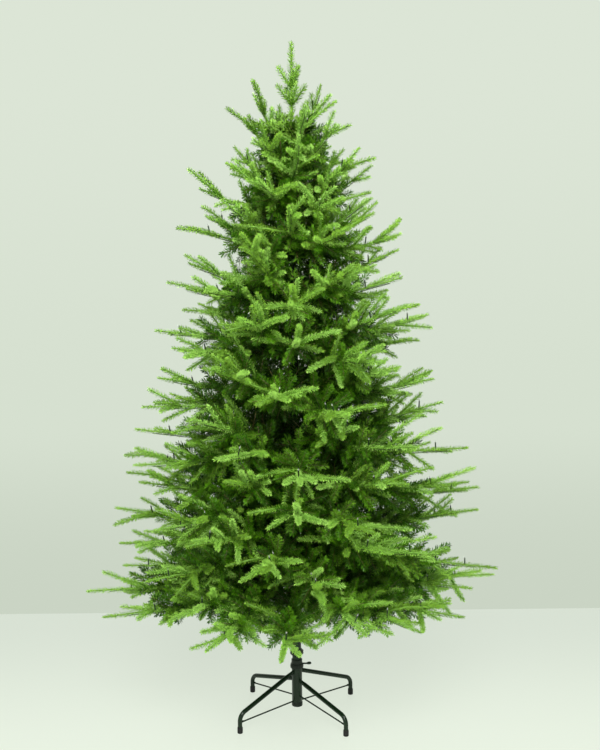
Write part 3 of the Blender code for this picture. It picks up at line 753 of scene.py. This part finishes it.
def side_fill(dice, curve, space, size):
    """More moulded shoots on both sides of a bough's outer half, near its own level."""
    made = []
    for i in range(SIDE_FILL):
        along = SIDE_FILL_FROM + SIDE_FILL_OVER * (i + dice.random()) / SIDE_FILL
        angle = dice.uniform(*SIDE_FILL_ANGLES)
        if i % 2:
            angle = 180 - angle
        spread = SIDE_FILL_SPREAD - SPREAD_LOST * along + dice.uniform(*UNEVEN_FILL_SPREAD)
        root, direction = leaving(curve, along, angle, spread)
        length = SIDE_FILL_LENGTH * size * dice.uniform(*UNEVEN_SIDE_LENGTH)
        end = longest_inside(space, root, direction, length)
        if end:
            made.append(arched(dice, root, end, space.tier, own_droop(space)))
    return made


def above_underside(end):
    """The end of a shoot, brought back up where it would hang below the crown's underside."""
    lowest = cone_height(0, math.hypot(end.x, end.y)) + SPACE_MARGIN
    if end.z < lowest:
        end = Vector((end.x, end.y, lowest + LIFTED_BACK * (lowest - end.z)))
    return end


def fill_shoots(dice, curve, space, size):
    """Shoots set spirally round the inner part of a bough, as (moulded, film)."""
    moulded, film = [], []
    count = FILL_AT_LEAST + round(FILL_PER_METRE * (curve[2] - curve[0]).length)
    if space.tier == 0:
        count = round(count * LOWEST_FILL)
    last = FILL_TO[0] + (FILL_TO[1] - FILL_TO[0]) * space.tier / (len(MASSES_IN_TIER) - 1)
    for i in range(count):
        share = ((i + dice.random()) / count) ** FILL_OUTWARDS
        along = FILL_FROM + (last - FILL_FROM) * share
        angle = (GOLDEN_ANGLE * i + dice.uniform(*UNEVEN_FILL_ANGLE)) % 360
        hangs = HANGING[0] < angle < HANGING[1]
        spread = SPREAD_AT_ROOT - SPREAD_LOST * along + dice.uniform(*UNEVEN_FILL_SPREAD)
        root, direction = leaving(curve, along, angle, spread)
        length = HANGING_LENGTH if hangs else FILL_LENGTH - FILL_LENGTH_LOST * along
        end = root + direction * (length * size * dice.uniform(*UNEVEN_FILL_LENGTH))
        if space.tier == 0:
            end = above_underside(end)
        if math.hypot(end.x, end.y) < pole_radius_at(end.z) + POLE_MARGIN:
            continue
        outer = space.tier >= UPPER_TIERS and along > MOULDED_FILL_FROM and not hangs
        if outer and i % 2:
            moulded.append(arched(dice, root, end, space.tier))
        else:
            film.append(film_shoot(dice, curve, along, end, space.tier))
    return moulded, film


def stray_shoots(dice, curve, space, size, way):
    """Long shoots that rise or sink from a bough into the gap between two tiers."""
    made = []
    for angle, along in STRAYS[way]:
        spread = dice.uniform(*STRAY_SPREAD)
        root, direction = leaving(curve, along, angle + dice.uniform(*UNEVEN_STRAY_ANGLE), spread)
        length = STRAY_LENGTH * size * (STRAY_AT_ROOT - along) * dice.uniform(*UNEVEN_LENGTH)
        if space.tier > UPPER_TIERS:
            length *= SHORTER_ABOVE
        made.append(arched(dice, root, root + direction * length, space.tier))
    return made


def hem_shoots(dice, curve, space, size):
    """Shoots that hang from the lowest boughs to one level and close the crown's underside."""
    made = []
    hangs = curve[2].z > cone_height(HEM_LEVEL, math.hypot(curve[2].x, curve[2].y))
    for i in range(HEM_SHOOTS):
        along = HEM_FROM + (HEM_TO - HEM_FROM) * (i + dice.random()) / HEM_SHOOTS
        angle = -dice.uniform(*HEM_ANGLES)
        if i % 2:
            angle = 180 - angle
        root, direction = leaving(curve, along, angle, dice.uniform(*HEM_SPREAD))
        end = root + direction * HEM_LENGTH * size * dice.uniform(*UNEVEN_HEM_LENGTH)
        if hangs:
            level = cone_height(0, math.hypot(end.x, end.y)) + dice.uniform(*HEM_ABOVE)
            end.z = max(level, root.z - HEM_STEEPEST * (end - root).length)
        if in_own_space(end, space):
            bend = root.lerp(end, HEM_BEND)
            bend.z = HEM_BEND_HEIGHT[0] * root.z + HEM_BEND_HEIGHT[1] * end.z
            made.append(Shoot(root, bend, end, space.tier))
    return made


def grow_bough(dice, space, bough, highest, lowest):
    """All shoots of one bough as (moulded, film)."""
    curve, rows, size = bough
    tier = space.tier
    around = space._replace(half_angle=space.half_angle + OVER_THE_EDGE)
    moulded = [Shoot(*bezier_part(*curve, END_FROM, 1.0), tier)]
    film = [Shoot(*bezier_part(*curve, FILM_FROM, END_FROM), tier)]
    for along, ends in rows:
        outwards = (along - MOULDED_FROM) / (LAST_TIPS - MOULDED_FROM)
        for angle, end in zip(TIP_ANGLES, ends):
            raised = angle == 90.0
            if end is None:
                continue
            if outwards < 0:
                film.append(film_shoot(dice, curve, along, end, tier))
            elif raised and dice.random() < RAISED_SHARE:
                moulded.append(moulded_side(dice, curve, along, end, space, RAISED_FORWARD, 1.0))
            elif not raised and dice.random() > FEWER_OUTWARDS * outwards:
                longer = (LONGER + (LONGER_AT_END - LONGER) * outwards) * dice.uniform(*UNEVEN_LONGER)
                if tier > UPPER_TIERS:
                    longer *= SHORTER_ABOVE
                forward = FORWARD_AT_END * outwards
                moulded.append(moulded_side(dice, curve, along, end, around, forward, longer))
    moulded += side_fill(dice, curve, around, size)
    if highest:
        moulded += stray_shoots(dice, curve, space, size, "up")
    if lowest and tier > 0:
        moulded += stray_shoots(dice, curve, space, size, "down")
    if tier == 0:
        moulded += hem_shoots(dice, curve, around, size)
    more_moulded, more_film = fill_shoots(dice, curve, space, size)
    return moulded + more_moulded, film + more_film


def grow_shoots(masses):
    """All shoots of the boughs as (moulded, film)."""
    moulded, film = [], []
    for mass in masses:
        dice = random.Random(mass.name)
        for bough in mass.boughs:
            highest, lowest = bough is mass.boughs[-1], bough is mass.boughs[0]
            more_moulded, more_film = grow_bough(dice, mass.space, bough, highest, lowest)
            moulded += more_moulded
            film += more_film
    return moulded, film


def grow_leader():
    """The top shoot with its two whorls of small ones, and those that hide the pole's end."""
    top = len(MASSES_IN_TIER) - 1
    made = [Shoot(UP * LEADER_ROOT, UP * LEADER_BEND, UP * (HEIGHT - LEADER_NEEDLE_END), top)]
    for height, count, first, length, tilt in WHORLS + POLE_END_WHORLS:
        lean = math.radians(tilt)
        for k in range(count):
            turned = math.radians(first + 360 * k / count)
            direction = Vector((math.cos(turned) * math.sin(lean), math.sin(turned) * math.sin(lean),
                                math.cos(lean)))
            root = UP * height
            tip = root + direction * (length - NEEDLE_END)
            made.append(Shoot(root, root.lerp(tip, 0.5) - UP * WHORL_SAG, tip, top))
    return made


# ---------------------------------------------------------------- meshes made from arrays
Needle = namedtuple("Needle", "length width per_metre lean turned")
# lean is the angle between a needle and its shoot, turned how far its broad side turns away from it
MOULDED = Needle(length=0.0142, width=0.0030, per_metre=1360, lean=57.0, turned=0.0)
LEADER = Needle(length=0.0180, width=0.0032, per_metre=1400, lean=56.0, turned=0.0)
FILM = Needle(length=0.0190, width=0.0038, per_metre=1010, lean=54.0, turned=40.0)
INNER_FILM = Needle(length=0.0290, width=0.0050, per_metre=400, lean=58.0, turned=30.0)
INNER_SHARE = 0.38            # film shoots that end nearer to the pole carry fewer, larger needles
NEEDLES_AT_LEAST = 8
NEEDLE_PLACE = (0.3, 0.7)     # seeded place of a needle in its own step along the shoot
UNEVEN_AROUND = 12.0          # standard deviations in degrees: round the shoot,
UNEVEN_LEAN = 8.0             # of the lean
UNEVEN_TURNED = 24.0          # and of the turn
UNEVEN_NEEDLE = (0.88, 1.08)  # seeded spread of the length
CLOSING, CLOSING_POWER = 0.5, 16      # share of the lean that is lost at the shoot's very tip
SHORTER_AT_TIP, TIP_POWER = 0.2, 8    # and of the length
SHORT_AT_ROOT, ROOT_GAIN = 0.6, 4     # share of the length at the shoot's root, and how soon it is whole
WIDEST_AT = 0.68              # where a needle is widest, as a share of its length
NEEDLE_FOLD = 0.5             # how far its edges are folded back, as a share of half its width


def unit(vectors):
    return vectors / np.maximum(np.linalg.norm(vectors, axis=1, keepdims=True), 1e-9)


def side_and_above(run):
    """Side and upper direction of each run; one that stands upright gets its side from X."""
    reference = np.where(np.abs(run[:, 2:3]) > 0.9, [[1.0, 0.0, 0.0]], [[0.0, 0.0, 1.0]])
    side = unit(np.cross(run, reference))
    return side, np.cross(side, run)


def shoot_points(shoots):
    return np.array([[tuple(s.root), tuple(s.bend), tuple(s.tip)] for s in shoots])


def axes_along(points, owner, along):
    """Place, direction, side and upper direction at shares of the way along the owners' curves."""
    t = along[:, None]
    a, b, c = (points[owner, i] for i in range(3))
    place = a * (1 - t) ** 2 + b * 2 * t * (1 - t) + c * t ** 2
    run = unit((b - a) * (1 - t) + (c - b) * t)
    return place, run, *side_and_above(run)


def new_piece(name, corners, faces, materials, shade=None):
    """A mesh object from arrays of corners and faces, with the number of each face's material."""
    mesh = bpy.data.meshes.new(name)
    mesh.vertices.add(len(corners))
    mesh.vertices.foreach_set("co", corners.astype(np.float32).ravel())
    mesh.loops.add(faces.size)
    mesh.loops.foreach_set("vertex_index", faces.astype(np.int32).ravel())
    mesh.polygons.add(len(faces))
    mesh.polygons.foreach_set("loop_start", np.arange(0, faces.size, faces.shape[1], dtype=np.int32))
    mesh.update(calc_edges=True)
    for finish in materials:
        mesh.materials.append(finish)
    if shade is not None:
        mesh.polygons.foreach_set("material_index", shade.astype(np.int32))
    made = bpy.data.objects.new(name, mesh)
    bpy.context.scene.collection.objects.link(made)
    return made


def needles(name, shoots, needle, finishes, seed):
    """Folded needles of two faces each, all along the shoots; a shoot's needles share their shade."""
    dice = np.random.default_rng(seed)
    points = shoot_points(shoots)
    halves = [np.linalg.norm(points[:, i + 1] - points[:, i], axis=1) for i in (0, 1)]
    count = np.maximum(NEEDLES_AT_LEAST, (halves[0] + halves[1]) * needle.per_metre).astype(int)
    owner = np.repeat(np.arange(len(shoots)), count)
    order = np.arange(len(owner)) - np.repeat(np.cumsum(count) - count, count)
    along = (order + dice.uniform(*NEEDLE_PLACE, len(owner))) / count[owner]
    place, run, side, above = axes_along(points, owner, along)

    first = dice.uniform(0, 360, len(shoots))[owner]
    around = np.radians(first + order * GOLDEN_ANGLE + dice.normal(0, UNEVEN_AROUND, len(owner)))
    spoke = above * np.cos(around)[:, None] + side * np.sin(around)[:, None]
    lean = np.radians(needle.lean + dice.normal(0, UNEVEN_LEAN, len(owner)))
    lean = lean * (1 - CLOSING * along ** CLOSING_POWER)
    heading = run * np.cos(lean)[:, None] + spoke * np.sin(lean)[:, None]
    reach = needle.length * dice.uniform(*UNEVEN_NEEDLE, len(owner))
    reach = reach * (1 - SHORTER_AT_TIP * along ** TIP_POWER)
    reach = reach * np.minimum(1.0, SHORT_AT_ROOT + ROOT_GAIN * along)
    roll = np.radians(needle.turned + dice.normal(0, UNEVEN_TURNED, len(owner)))
    flat = unit(np.cross(heading, spoke))
    flat = flat * np.cos(roll)[:, None] + np.cross(heading, flat) * np.sin(roll)[:, None]
    back = np.cross(flat, heading)
    half = needle.width / 2
    middle = place + heading * (reach * WIDEST_AT)[:, None]
    fold = back * half * NEEDLE_FOLD
    corners = np.stack([place, middle + flat * half - fold, place + heading * reach[:, None],
                        middle - flat * half - fold], axis=1)
    corner = np.arange(len(owner))[:, None] * 4
    faces = np.concatenate([corner + [[0, 1, 2]], corner + [[0, 2, 3]]], axis=1).reshape(-1, 3)
    shade = np.repeat(dice.integers(0, len(finishes), len(shoots))[owner], 2)
    return new_piece(name, corners.reshape(-1, 3), faces, finishes, shade)


def tubes(name, centres, radii, sides, finish):
    """Round wires along paths of equally many points, each with a radius, closed at both ends."""
    count, rings = centres.shape[:2]
    side, above = side_and_above(unit(np.gradient(centres, axis=1).reshape(-1, 3)))
    turn = 2 * np.pi * np.arange(sides) / sides
    spokes = side[:, None] * np.cos(turn)[None, :, None] + above[:, None] * np.sin(turn)[None, :, None]
    corners = centres.reshape(-1, 1, 3) + spokes * radii.reshape(-1, 1, 1)
    one = []
    for r in range(rings - 1):
        for k in range(sides):
            a, b = r * sides + k, r * sides + (k + 1) % sides
            one += [(a, b, b + sides), (a, b + sides, a + sides)]
    for k in range(1, sides - 1):
        last = (rings - 1) * sides
        one += [(0, k + 1, k), (last, last + k, last + k + 1)]
    faces = np.array(one)[None] + (np.arange(count) * rings * sides)[:, None, None]
    return new_piece(name, corners.reshape(-1, 3), faces.reshape(-1, 3), [finish])


def rods(name, shoots, root_radius, tip_radius, sides, rings, finish):
    """Tapering wires along the shoots."""
    owner = np.repeat(np.arange(len(shoots)), rings)
    along = np.tile(np.linspace(0, 1, rings), len(shoots))
    centres = axes_along(shoot_points(shoots), owner, along)[0].reshape(len(shoots), rings, 3)
    radii = root_radius + (tip_radius - root_radius) * along.reshape(len(shoots), rings)
    return tubes(name, centres, radii, sides, finish)


def strewn(name, model, places, axes, finish):
    """Copies of a small model, set at places with their Z along axes, as one mesh."""
    mesh = model.data
    corners = np.empty(len(mesh.vertices) * 3, dtype=np.float32)
    mesh.vertices.foreach_get("co", corners)
    corners = corners.reshape(-1, 3)
    mesh.calc_loop_triangles()
    faces = np.empty(len(mesh.loop_triangles) * 3, dtype=np.int32)
    mesh.loop_triangles.foreach_get("vertices", faces)
    up = unit(axes)
    side = unit(np.cross(up, [[0.31, 0.95, 0.0]]))
    ahead = np.cross(up, side)
    moved = (side[:, None] * corners[None, :, 0:1] + ahead[:, None] * corners[None, :, 1:2]
             + up[:, None] * corners[None, :, 2:3] + places[:, None])
    faces = faces.reshape(-1, 3)[None] + (np.arange(len(places)) * len(corners))[:, None, None]
    bpy.data.objects.remove(model)
    return new_piece(name, moved.reshape(-1, 3), faces.reshape(-1, 3), [finish])


# ---------------------------------------------------------------- foliage
PARTS = (("lowest", 0, 0), ("low", 1, 1), ("middle", 2, 3), ("upper", 4, 5), ("top", 6, 9))
# the needles are joined by parts of the crown: name, first and last tier
LEADER_NODE = "foliage_leader"
LIMB_TO = 0.66                # a bough's own wire ends here, inside its moulded end


def is_inner(shoot):
    return math.hypot(shoot.tip.x, shoot.tip.y) < INNER_SHARE * between(REACH, shoot.tip.z)


def make_needles(masses, moulded, film, leader):
    """Every needle of the crown: moulded and cut from film by parts, then the inner film and the leader."""
    outer_film = [shoot for shoot in film if not is_inner(shoot)]
    kinds = (("moulded", moulded, MOULDED, moulded_needles), ("film", outer_film, FILM, film_needles))
    for number, (part, first_tier, last_tier) in enumerate(PARTS):
        nodes = [mass.name for mass in masses if first_tier <= mass.space.tier <= last_tier]
        for kind, shoots, needle, finishes in kinds:
            own = [shoot for shoot in shoots if first_tier <= shoot.level <= last_tier]
            piece = needles(f"{kind}_needles_{part}", own, needle, finishes, 10 * number + len(kind))
            finish_piece(piece, nodes)
    # The film near the pole takes the darker finishes: painted shade deep in the crown.
    inner_film = [shoot for shoot in film if is_inner(shoot)]
    piece = needles("inner_film_needles", inner_film, INNER_FILM, film_needles_painted_shade, 77)
    finish_piece(piece, [mass.name for mass in masses])
    piece = needles("leader_needles", leader, LEADER, moulded_needles, 99)
    finish_piece(piece, [LEADER_NODE])


def make_wires(masses, moulded, film, leader):
    """Everything that the needles stand on, back to the arms that are hinged to the pole's collars."""
    nodes = [mass.name for mass in masses]
    limbs = [Shoot(*bezier_part(*bough.curve, 0.0, LIMB_TO), mass.space.tier)
             for mass in masses for bough in mass.boughs]
    arms = [Shoot(mass.stem[0], mass.stem[0].lerp(mass.stem[1], 0.5), mass.stem[1], mass.space.tier)
            for mass in masses]
    # name, shoots, radius at the root and at the tip, sides, rings, finish, nodes, slot
    wires = (("moulded_stems", moulded + leader, 0.0040, 0.0022, 5, 3, rod_finish_with_painted_shade, [*nodes, LEADER_NODE],
              "needles"),
             ("film_wires", film, 0.0012, 0.0008, 3, 2, twisted_wire, nodes, "needles"),
             ("bough_wires", limbs, 0.0032, 0.0018, 6, 9, twisted_wire, nodes, "needles"),
             ("hinge_arms", arms, 0.0040, 0.0034, 10, 3, stand_enamel, nodes, "stand_metal"))
    for *shape, replaced, slot in wires:
        finish_piece(rods(*shape), replaced)


# ---------------------------------------------------------------- light strings
LIGHT_SEED = 52
LIGHTS_APART = 0.125
LIT_SHARE = 0.75              # share of a bough's length that carries lights
LIGHTS_FROM, LIGHTS_OVER = 0.36, 0.56     # where they start, and what they are spread over
UNEVEN_LIGHT = (0.3, 0.9)     # seeded place of a light in its own step
LIGHT_ANGLES = (70, 110)
LIGHT_OFF = 0.006             # from the middle of the bough to the light's holder
LIGHT_LEANS = (-0.25, 0.35)   # how far it leans forward and sideways, 1 being 45 degrees
LIGHT_TIPS = (-0.3, 0.3)
HOLDER_RINGS = ((0.0012, -0.005), (0.0017, -0.001), (0.0022, 0.002), (0.0020, 0.016), (0.0025, 0.0165),
                (0.0025, 0.018))
BULB_RINGS = ((0.0012, 0.0172), (0.0015, 0.0190), (0.0015, 0.0212), (0.0009, 0.0234), (0.0003, 0.0246))
CABLE_RADIUS = 0.0011
CABLE_SIDES = 4
CABLE_OFF = 0.0065            # from the middle of the bough to the cable wound round it
CABLE_RINGS = 22
CABLE_PITCH = 0.16            # length of bough for each turn of the cable
CABLE_FROM, CABLE_OVER = 0.02, 0.90
CABLE_SWAY = 40               # degrees that it swings to each side under a bough's outer part


def make_holder():
    """Moulded lamp holder: collar, barrel and a rolled mouth."""
    return done(drawn_up("holder", 7, HOLDER_RINGS), holder_nylon, 40.0)


def make_bulb():
    """Clear pointed bulb."""
    return done(drawn_up("bulb", 7, BULB_RINGS), bulb_acrylic, 80.0)


def lights_along(dice, curve, length):
    """Places and axes of the lights on one bough."""
    places, axes = [], []
    count = max(1, round(LIT_SHARE * length / LIGHTS_APART))
    for i in range(count):
        along = LIGHTS_FROM + LIGHTS_OVER * (i + dice.uniform(*UNEVEN_LIGHT)) / count
        run = bezier_run(*curve, along)
        place, out = leaving(curve, along, dice.choice(LIGHT_ANGLES), 90)
        places.append(tuple(place + out * LIGHT_OFF))
        forward = run * dice.uniform(*LIGHT_LEANS)
        axes.append(tuple(UP + forward + run.cross(UP) * dice.uniform(*LIGHT_TIPS)))
    return places, axes


def cable_along(dice, curve, length):
    """Points of the cable that winds round one bough and hangs below its outer part."""
    turns = 2 * math.pi * length / CABLE_PITCH
    first = dice.uniform(0, 2 * math.pi)
    points = []
    for k in range(CABLE_RINGS):
        along = CABLE_FROM + CABLE_OVER * k / (CABLE_RINGS - 1)
        angle = math.degrees(first + turns * along)
        if along > MOULDED_FROM:
            angle = -90 + CABLE_SWAY * math.sin(math.radians(angle))
        place, out = leaving(curve, along, angle, 90)
        points.append(tuple(place + out * CABLE_OFF))
    return points


def make_lights(masses):
    """A cable wound along each bough, with lamp holders standing up from it and a bulb in each."""
    dice = random.Random(LIGHT_SEED)
    places, axes, cables = [], [], []
    for bough in [bough for mass in masses for bough in mass.boughs]:
        length = (bough.curve[2] - bough.curve[0]).length
        more_places, more_axes = lights_along(dice, bough.curve, length)
        places += more_places
        axes += more_axes
        cables.append(cable_along(dice, bough.curve, length))
    places, axes, cables = np.array(places), np.array(axes), np.array(cables)
    radii = np.full(cables.shape[:2], CABLE_RADIUS)
    cable = tubes("light_cables", cables, radii, CABLE_SIDES, cable_pvc)
    holders = strewn("lamp_holders", make_holder(), places, axes, holder_nylon)
    bulbs = strewn("bulbs", make_bulb(), places, axes, bulb_acrylic)
    for piece in (cable, holders, bulbs):
        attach(piece, "root")


# ---------------------------------------------------------------- studio
FLOOR_EDGE = 1.0              # metres behind the tree, where the floor's own sheet ends
WALL_PLACE = 5.2
FRONT = -6.0
HALF_WIDTH = 9.0
WALL_HEIGHT = 8.0
SKY_COLOUR = "f2f6f0"
SKY_STRENGTH = 0.140
# name, place, what it aims at, width and height, watts, degrees that its light spreads
SOFTBOXES = (("overhead_softbox", (0.0, -3.3, 3.9), (0, 0, 1.0), (2.6, 1.8), 80, 100.0),
             ("left_softbox", (-2.6, -4.2, 1.9), (0, 0, 0.9), (2.2, 2.5), 40, 180.0),
             ("right_softbox", (2.6, -4.2, 1.9), (0, 0, 0.9), (2.2, 2.5), 35, 180.0))


def graded(name, axis, stretch, hex_first, hex_last, glow, lit):
    """Paper graded along an axis; its glow stands for lights of its own, a lit one takes shadows too."""
    made, tree, shader, place = new_material(name)
    parts = add_node(tree, "ShaderNodeSeparateXYZ", links={"Vector": (place, "Object")})
    share = add_node(tree, "ShaderNodeMapRange",
                     {"From Min": stretch[0], "From Max": stretch[1], "interpolation_type": "SMOOTHSTEP"},
                     {"Value": (parts, axis)})
    shade = add_node(tree, "ShaderNodeMix", {"data_type": "RGBA", "A": srgb(hex_first), "B": srgb(hex_last)},
                     {"Factor": (share, "Result")})
    tree.links.new(shade.outputs["Result"], shader.inputs["Emission Color"])
    shader.inputs["Emission Strength"].default_value = glow
    if lit:
        tree.links.new(shade.outputs["Result"], shader.inputs["Base Color"])
        shader.inputs["Roughness"].default_value = 0.6
    else:
        shader.inputs["Base Color"].default_value = (0.0, 0.0, 0.0, 1.0)
        shader.inputs["Specular IOR Level"].default_value = 0.0
    return made


# Matt paper rolled out under the tree: it takes the tree's soft shadow.
floor_paper = graded("rolled_matt_paper", "Y", (0.9, -0.5), "5b5f59", "636760", 5.40, True)
# The same paper further back and hung as a wall: evenly lit and pale, with no grain or gloss.
far_paper = graded("far_matt_paper", "Y", (FLOOR_EDGE, WALL_PLACE), "cad4c4", "d6e0d0", 1.0, False)
hung_paper = graded("hung_matt_paper", "Z", (0.0, 2.6), "d6e0d0", "dce5d6", 1.0, False)


def staged_sheet(name, first, last, finish):
    """A sheet across the whole studio, from one (y, z) to another."""
    corners = [(-HALF_WIDTH, *first), (HALF_WIDTH, *first), (HALF_WIDTH, *last), (-HALF_WIDTH, *last)]
    new_piece(name, np.array(corners), np.array([[0, 1, 2, 3]]), [finish])


def make_studio():
    """Floor, far floor and wall, of one pale grey-green that gets lighter upwards."""
    staged_sheet("studio_floor", (FRONT, 0), (FLOOR_EDGE, 0), floor_paper)
    staged_sheet("studio_far_floor", (FLOOR_EDGE, 0), (WALL_PLACE, 0), far_paper)
    staged_sheet("studio_wall", (WALL_PLACE, 0), (WALL_PLACE, WALL_HEIGHT), hung_paper)


def light_studio():
    """Three softboxes and a pale sky."""
    for name, place, aim_at, size, watts, spread in SOFTBOXES:
        data = bpy.data.lights.new(name, "AREA")
        data.shape = "RECTANGLE"
        data.size, data.size_y = size
        data.energy = watts
        data.spread = math.radians(spread)
        light = bpy.data.objects.new(name, data)
        light.location = place
        light.rotation_euler = (Vector(aim_at) - Vector(place)).to_track_quat("-Z", "Y").to_euler()
        bpy.context.scene.collection.objects.link(light)
    world = bpy.data.worlds.new("studio_world")
    world.use_nodes = True
    background = world.node_tree.nodes["Background"]
    background.inputs["Color"].default_value = srgb(SKY_COLOUR)
    background.inputs["Strength"].default_value = SKY_STRENGTH
    bpy.context.scene.world = world


# ---------------------------------------------------------------- the whole scene
masses = bent_by_hand(plan_masses())
moulded, film = grow_shoots(masses)
leader = grow_leader()
make_needles(masses, moulded, film, leader)
make_wires(masses, moulded, film, leader)
make_lights(masses)
rivet = make_rivet()
make_post()
make_cap()
make_thumbscrew()
for number in range(len(LEG_AZIMUTHS)):
    make_leg(number, rivet)
    make_brace(number, rivet)
make_feet()
bpy.data.objects.remove(rivet)
make_pole()
make_collars()
make_studio()
light_studio()
place_camera()
